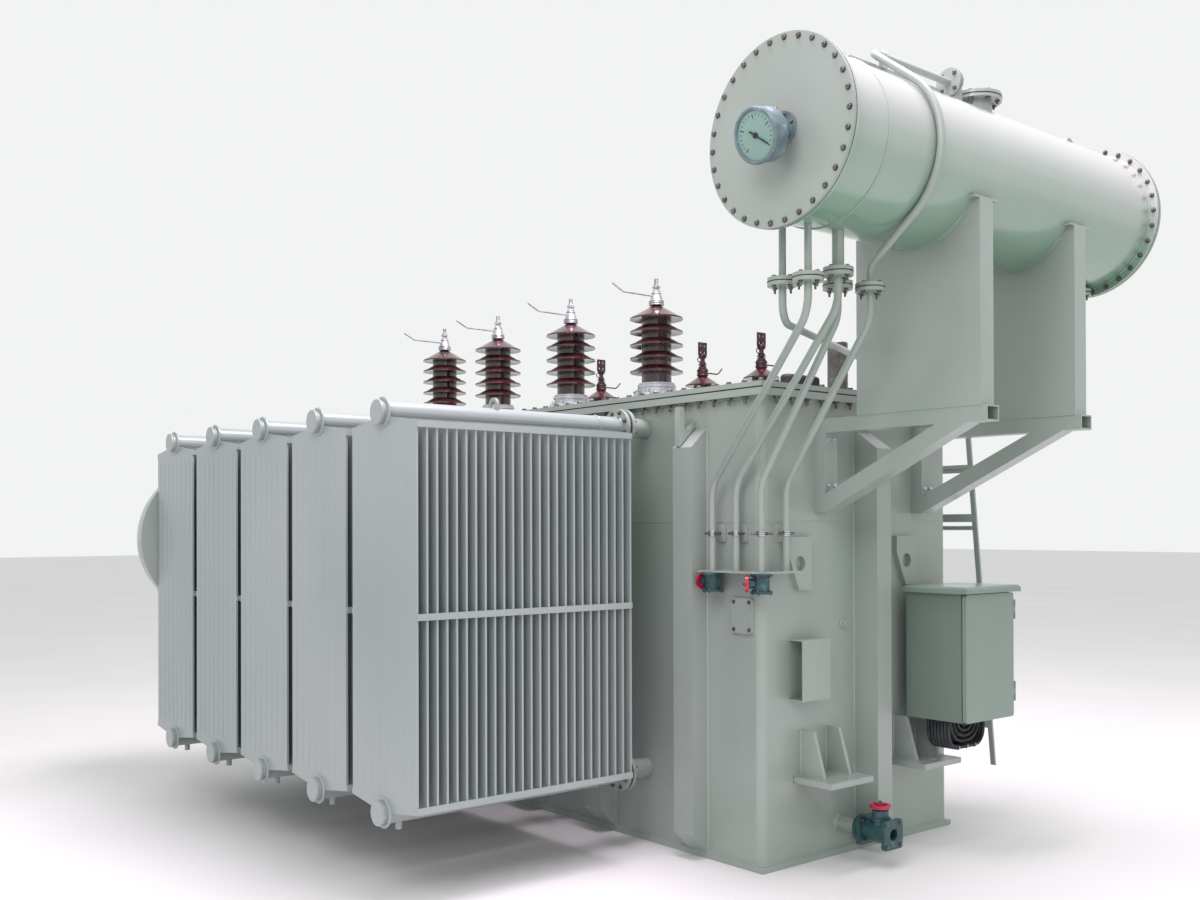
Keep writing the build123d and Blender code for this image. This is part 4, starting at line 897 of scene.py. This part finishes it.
def pipe_clamps():
    """Bolted clips that hold the four pipes to the walls, most of them on a small plate."""
    clips = bmesh.new()
    plates = bmesh.new()
    studs = bmesh.new()
    for run, (x, y) in PIPE_FEET.items():
        middle = Vector((x, y, CLAMP_LEVEL))
        stand_off = PIPE_STAND_OFFS[run]
        turn = math.radians(PIPE_TURNS[run])
        out = Vector((math.cos(turn), -math.sin(turn), 0))
        along = Vector((math.sin(turn), math.cos(turn), 0))
        ring = circle_points(middle, UP, PIPE_RADIUS + 0.002, 20)
        for shift in (-0.008, 0.0, 0.008):
            add_tube(clips, [point + UP * shift for point in ring], 0.004, 6, True)
        add_tube(studs, [middle - out * stand_off, middle - out * 0.012], 0.006, 8)
        add_tube(studs, [middle - along * 0.045, middle + along * 0.050], 0.005, 8)
        add_nut(studs, middle + along * 0.020, along, 0.008, 0.008)
        if run != "c":
            facing = Matrix((along, out, UP)).transposed()
            add_block(plates, middle - out * (stand_off - 0.004), (0.055, 0.012, 0.075), facing, 0.002)
    piece("pipe_clips", clips, BRIGHT_STEEL)
    piece("pipe_clip_plates", plates, PAINT)
    piece("pipe_clip_studs", studs, BOLT_STEEL)


def valve_bolts():
    """Bolts on the small gate valves' plates and on the drain valve's flanges and bonnet."""
    mesh = bmesh.new()
    for run in ("a", "c"):
        foot = (*PIPE_FEET[run], 0)
        for place in circle_points(foot, UP, 0.040, 4, 0.4):
            under, over, upper = ((place.x, place.y, level) for level in VALVE_PLATES)
            add_head(mesh, under, DOWN, 0.006)
            add_nut(mesh, upper, DOWN, 0.005, 0.003)
            add_nut(mesh, over, UP, 0.005, 0.003)
    for y in (-DRAIN_FLANGE_BOLT, DRAIN_FLANGE_BOLT):
        for z in (-DRAIN_FLANGE_BOLT, DRAIN_FLANGE_BOLT):
            add_head(mesh, DRAIN + Vector((0.070, y, z)), ALONG_X, 0.009)
            add_nut(mesh, DRAIN + Vector((0.052, y, z)), -ALONG_X, 0.008, 0.006)
            add_nut(mesh, DRAIN + Vector((-0.064, y, z)), ALONG_X, 0.008, 0.006)
    for place in circle_points(DRAIN - ALONG_X * 0.104, ALONG_X, 0.052, 4, math.pi / 4):
        add_nut(mesh, place, -ALONG_X, 0.008, 0.006)
    piece("valve_bolts", mesh, BOLT_STEEL)


def drain_bonnet():
    """Ribbed collar and gland on the drain valve's bonnet, and the sleeve of its pipe."""
    mesh = bmesh.new()
    section = ((0.035, 0.050), (0.046, 0.054), (0.046, 0.062), (0.036, 0.066))
    add_turned(mesh, DRAIN, UP, section, 40, hollow=True)
    gland = ((0.022, 0.094), (0.022, 0.101), (0.012, 0.103), (0.0075, 0.103), (0.0075, 0.094))
    add_turned(mesh, DRAIN, UP, gland, 24, hollow=True)
    piece("drain_collar", mesh, TEAL)
    sleeve = bmesh.new()
    section = ((0.0302, 0), (0.040, 0), (0.036, 0.008), (0.0315, 0.012), (0.0315, 0.100), (0.0302, 0.100))
    add_turned(sleeve, (END_WALL, DRAIN.y, DRAIN.z), ALONG_X, section, 32, hollow=True)
    piece("drain_sleeve", sleeve, PAINT)


# Box

SEAL_RIM = 0.012
SEAL_THICK = 0.004


def box_seal():
    """Rubber seal behind the door."""
    mesh = bmesh.new()
    middle_y = (BOX_LEFT + BOX_RIGHT) / 2
    middle_z = (BOX_LOW + BOX_HIGH) / 2
    wide = BOX_RIGHT - BOX_LEFT
    tall = BOX_HIGH - BOX_LOW
    face = BOX_FRONT + SEAL_THICK / 2
    for side in (-1, 1):
        y = middle_y + side * (wide / 2 - SEAL_RIM / 2 - 0.004)
        add_block(mesh, (face, y, middle_z), (SEAL_THICK, SEAL_RIM, tall - 0.02), bevel=0.001)
        z = middle_z + side * (tall / 2 - SEAL_RIM / 2 - 0.010)
        add_block(mesh, (face, middle_y, z), (SEAL_THICK, wide - 0.034, SEAL_RIM), bevel=0.001)
    piece("box_seal", mesh, BLACK)


CABLES = 7
CABLE_FRONT = 2.116
CABLE_PITCH = 0.018
CABLE_ENDS = (0.300, 0.574)
GLAND = ((0.0081, 0), (0.0089, 0), (0.0089, 0.014), (0.0086, 0.018), (0.0081, 0.018))


def cable_glands():
    """Glands over the cables' ends, under the box."""
    mesh = bmesh.new()
    for step in range(CABLES):
        for y in CABLE_ENDS:
            add_turned(mesh, (CABLE_FRONT - step * CABLE_PITCH, y, BOX_LOW), DOWN, GLAND, 12, hollow=True)
    piece("cable_glands", mesh, BLACK)


# Drop, left end and right end of each nested loop
INNER_LOOPS = ((0.112, 0.328, 0.546), (0.088, 0.352, 0.522), (0.064, 0.378, 0.496), (0.040, 0.404, 0.470))
INNER_ROWS = 4
INNER_FRONT = 2.107
INNER_PITCH = 0.030
INNER_RADIUS = 0.0075
BEND_SHARE = 0.8
BEND_ANGLES = [math.radians(9 * turn) for turn in range(11)]


def inner_loop(x, drop, left, right):
    """Line of one cable, down from the box, round two bends and up again."""
    bend = BEND_SHARE * drop
    bends = [(bend * (1 - math.cos(t)), BOX_LOW - drop + bend * (1 - math.sin(t))) for t in BEND_ANGLES]
    line = [(x, left, BOX_LOW)]
    line += [(x, left + inward, level) for inward, level in bends]
    line += [(x, right - inward, level) for inward, level in reversed(bends)]
    return line + [(x, right, BOX_LOW)]


def cable_inner_loops():
    """Nested loops that fill the bundle of cables."""
    mesh = bmesh.new()
    for drop, left, right in INNER_LOOPS:
        for step in range(INNER_ROWS):
            add_tube(mesh, inner_loop(INNER_FRONT - step * INNER_PITCH, drop, left, right), INNER_RADIUS, 8)
    piece("cable_inner_loops", mesh, CABLE)


TIE_Y = (0.372, 0.437, 0.502)
TIE_X = 2.062
TIE_Z = 0.444
TIE_HALF = 0.0545
TIE_BEND = 0.0095
TIE_STEPS = 8


def cable_ties():
    """Ties round the cables' lowest run, each of two wires."""
    mesh = bmesh.new()
    for y in TIE_Y:
        loop = []
        for side, start in ((1, -math.pi / 2), (-1, math.pi / 2)):
            for step in range(TIE_STEPS + 1):
                angle = start + math.pi * step / TIE_STEPS
                x = TIE_X + side * TIE_HALF + TIE_BEND * math.cos(angle)
                loop.append(Vector((x, y, TIE_Z + TIE_BEND * math.sin(angle))))
        for shift in (-0.002, 0.002):
            add_tube(mesh, [point + ALONG_Y * shift for point in loop], 0.0016, 6, True)
    piece("cable_ties", mesh, BRIGHT_STEEL)


# Studio

CAMERA_PLACE = (5.379, -4.427, 1.464)
CAMERA_AZIMUTH = math.radians(50.26)
CAMERA_PITCH = math.radians(0.34)
CAMERA_ROLL = math.radians(-0.17)


def make_camera():
    """Camera where the photo was taken from."""
    data = bpy.data.cameras.new("camera")
    data.sensor_fit = "HORIZONTAL"
    data.sensor_width = 36.0
    data.lens = 36.42
    data.shift_x = -0.0064
    data.shift_y = 0.0576
    camera = bpy.data.objects.new("camera", data)
    heading = Matrix.Rotation(CAMERA_AZIMUTH, 4, "Z")
    tip = Matrix.Rotation(math.pi / 2 + CAMERA_PITCH, 4, "X")
    roll = Matrix.Rotation(CAMERA_ROLL, 4, "Z")
    camera.matrix_world = Matrix.Translation(CAMERA_PLACE) @ heading @ tip @ roll
    bpy.context.scene.collection.objects.link(camera)
    bpy.context.scene.camera = camera


FLOOR_HALF = 60


def make_floor():
    """Plain pale floor that runs out of sight."""
    mesh = bmesh.new()
    bmesh.ops.create_grid(mesh, x_segments=1, y_segments=1, size=FLOOR_HALF)
    data = bpy.data.meshes.new("floor")
    mesh.to_mesh(data)
    mesh.free()
    material, tree, shader, place = fresh_material("floor")
    tone = ramp(tree, noise(tree, place, 0.8, 2.0), (0.3, (0.70, 0.70, 0.70)), (0.7, (0.73, 0.73, 0.73)))
    tree.links.new(tone, shader.inputs["Base Color"])
    shader.inputs["Roughness"].default_value = 0.8
    data.materials.append(material)
    floor = bpy.data.objects.new("floor", data)
    bpy.context.scene.collection.objects.link(floor)


def area_light(name, place, target, size, power, colour):
    """Soft square light aimed at a point."""
    data = bpy.data.lights.new(name, "AREA")
    data.shape = "SQUARE"
    data.size = size
    data.energy = power
    data.color = colour
    light = bpy.data.objects.new(name, data)
    light.location = place
    light.rotation_euler = (Vector(target) - Vector(place)).to_track_quat("-Z", "Y").to_euler()
    bpy.context.scene.collection.objects.link(light)


def make_light():
    """Pale sky and three soft lights."""
    world = bpy.data.worlds.new("studio")
    world.use_nodes = True
    sky = world.node_tree.nodes["Background"]
    sky.inputs["Color"].default_value = (0.985, 1.0, 0.99, 1)
    sky.inputs["Strength"].default_value = 0.90
    bpy.context.scene.world = world
    area_light("key", (4.0, -5.5, 5.5), (1.6, -0.5, 1.5), 3.0, 130, (1.0, 0.94, 0.97))
    area_light("fill", (7.5, -3.0, 4.0), (1.8, 0.0, 1.2), 4.0, 30, (0.98, 0.98, 1.0))
    area_light("top", (2.2, -0.6, 7.0), (2.0, 0.0, 1.5), 3.0, 560, (1.0, 0.86, 0.97))
    bpy.context.scene.view_settings.view_transform = "Standard"


finish_nodes()
make_camera()
make_floor()
make_light()
cover_bolts()
tank_welds()
pad_welds()
blank_plate_bolts()
bracket_bolts()
wall_plug()
radiator_dress()
radiator_valve_bolts()
bushing_bases()
terminal_dress()
conservator_bolts()
conservator_seams()
flange_bolts()
post_sleeve()
vent_clamp()
gauge_dress()
pipe_clamps()
valve_bolts()
drain_bonnet()
box_seal()
cable_glands()
cable_inner_loops()
cable_ties()
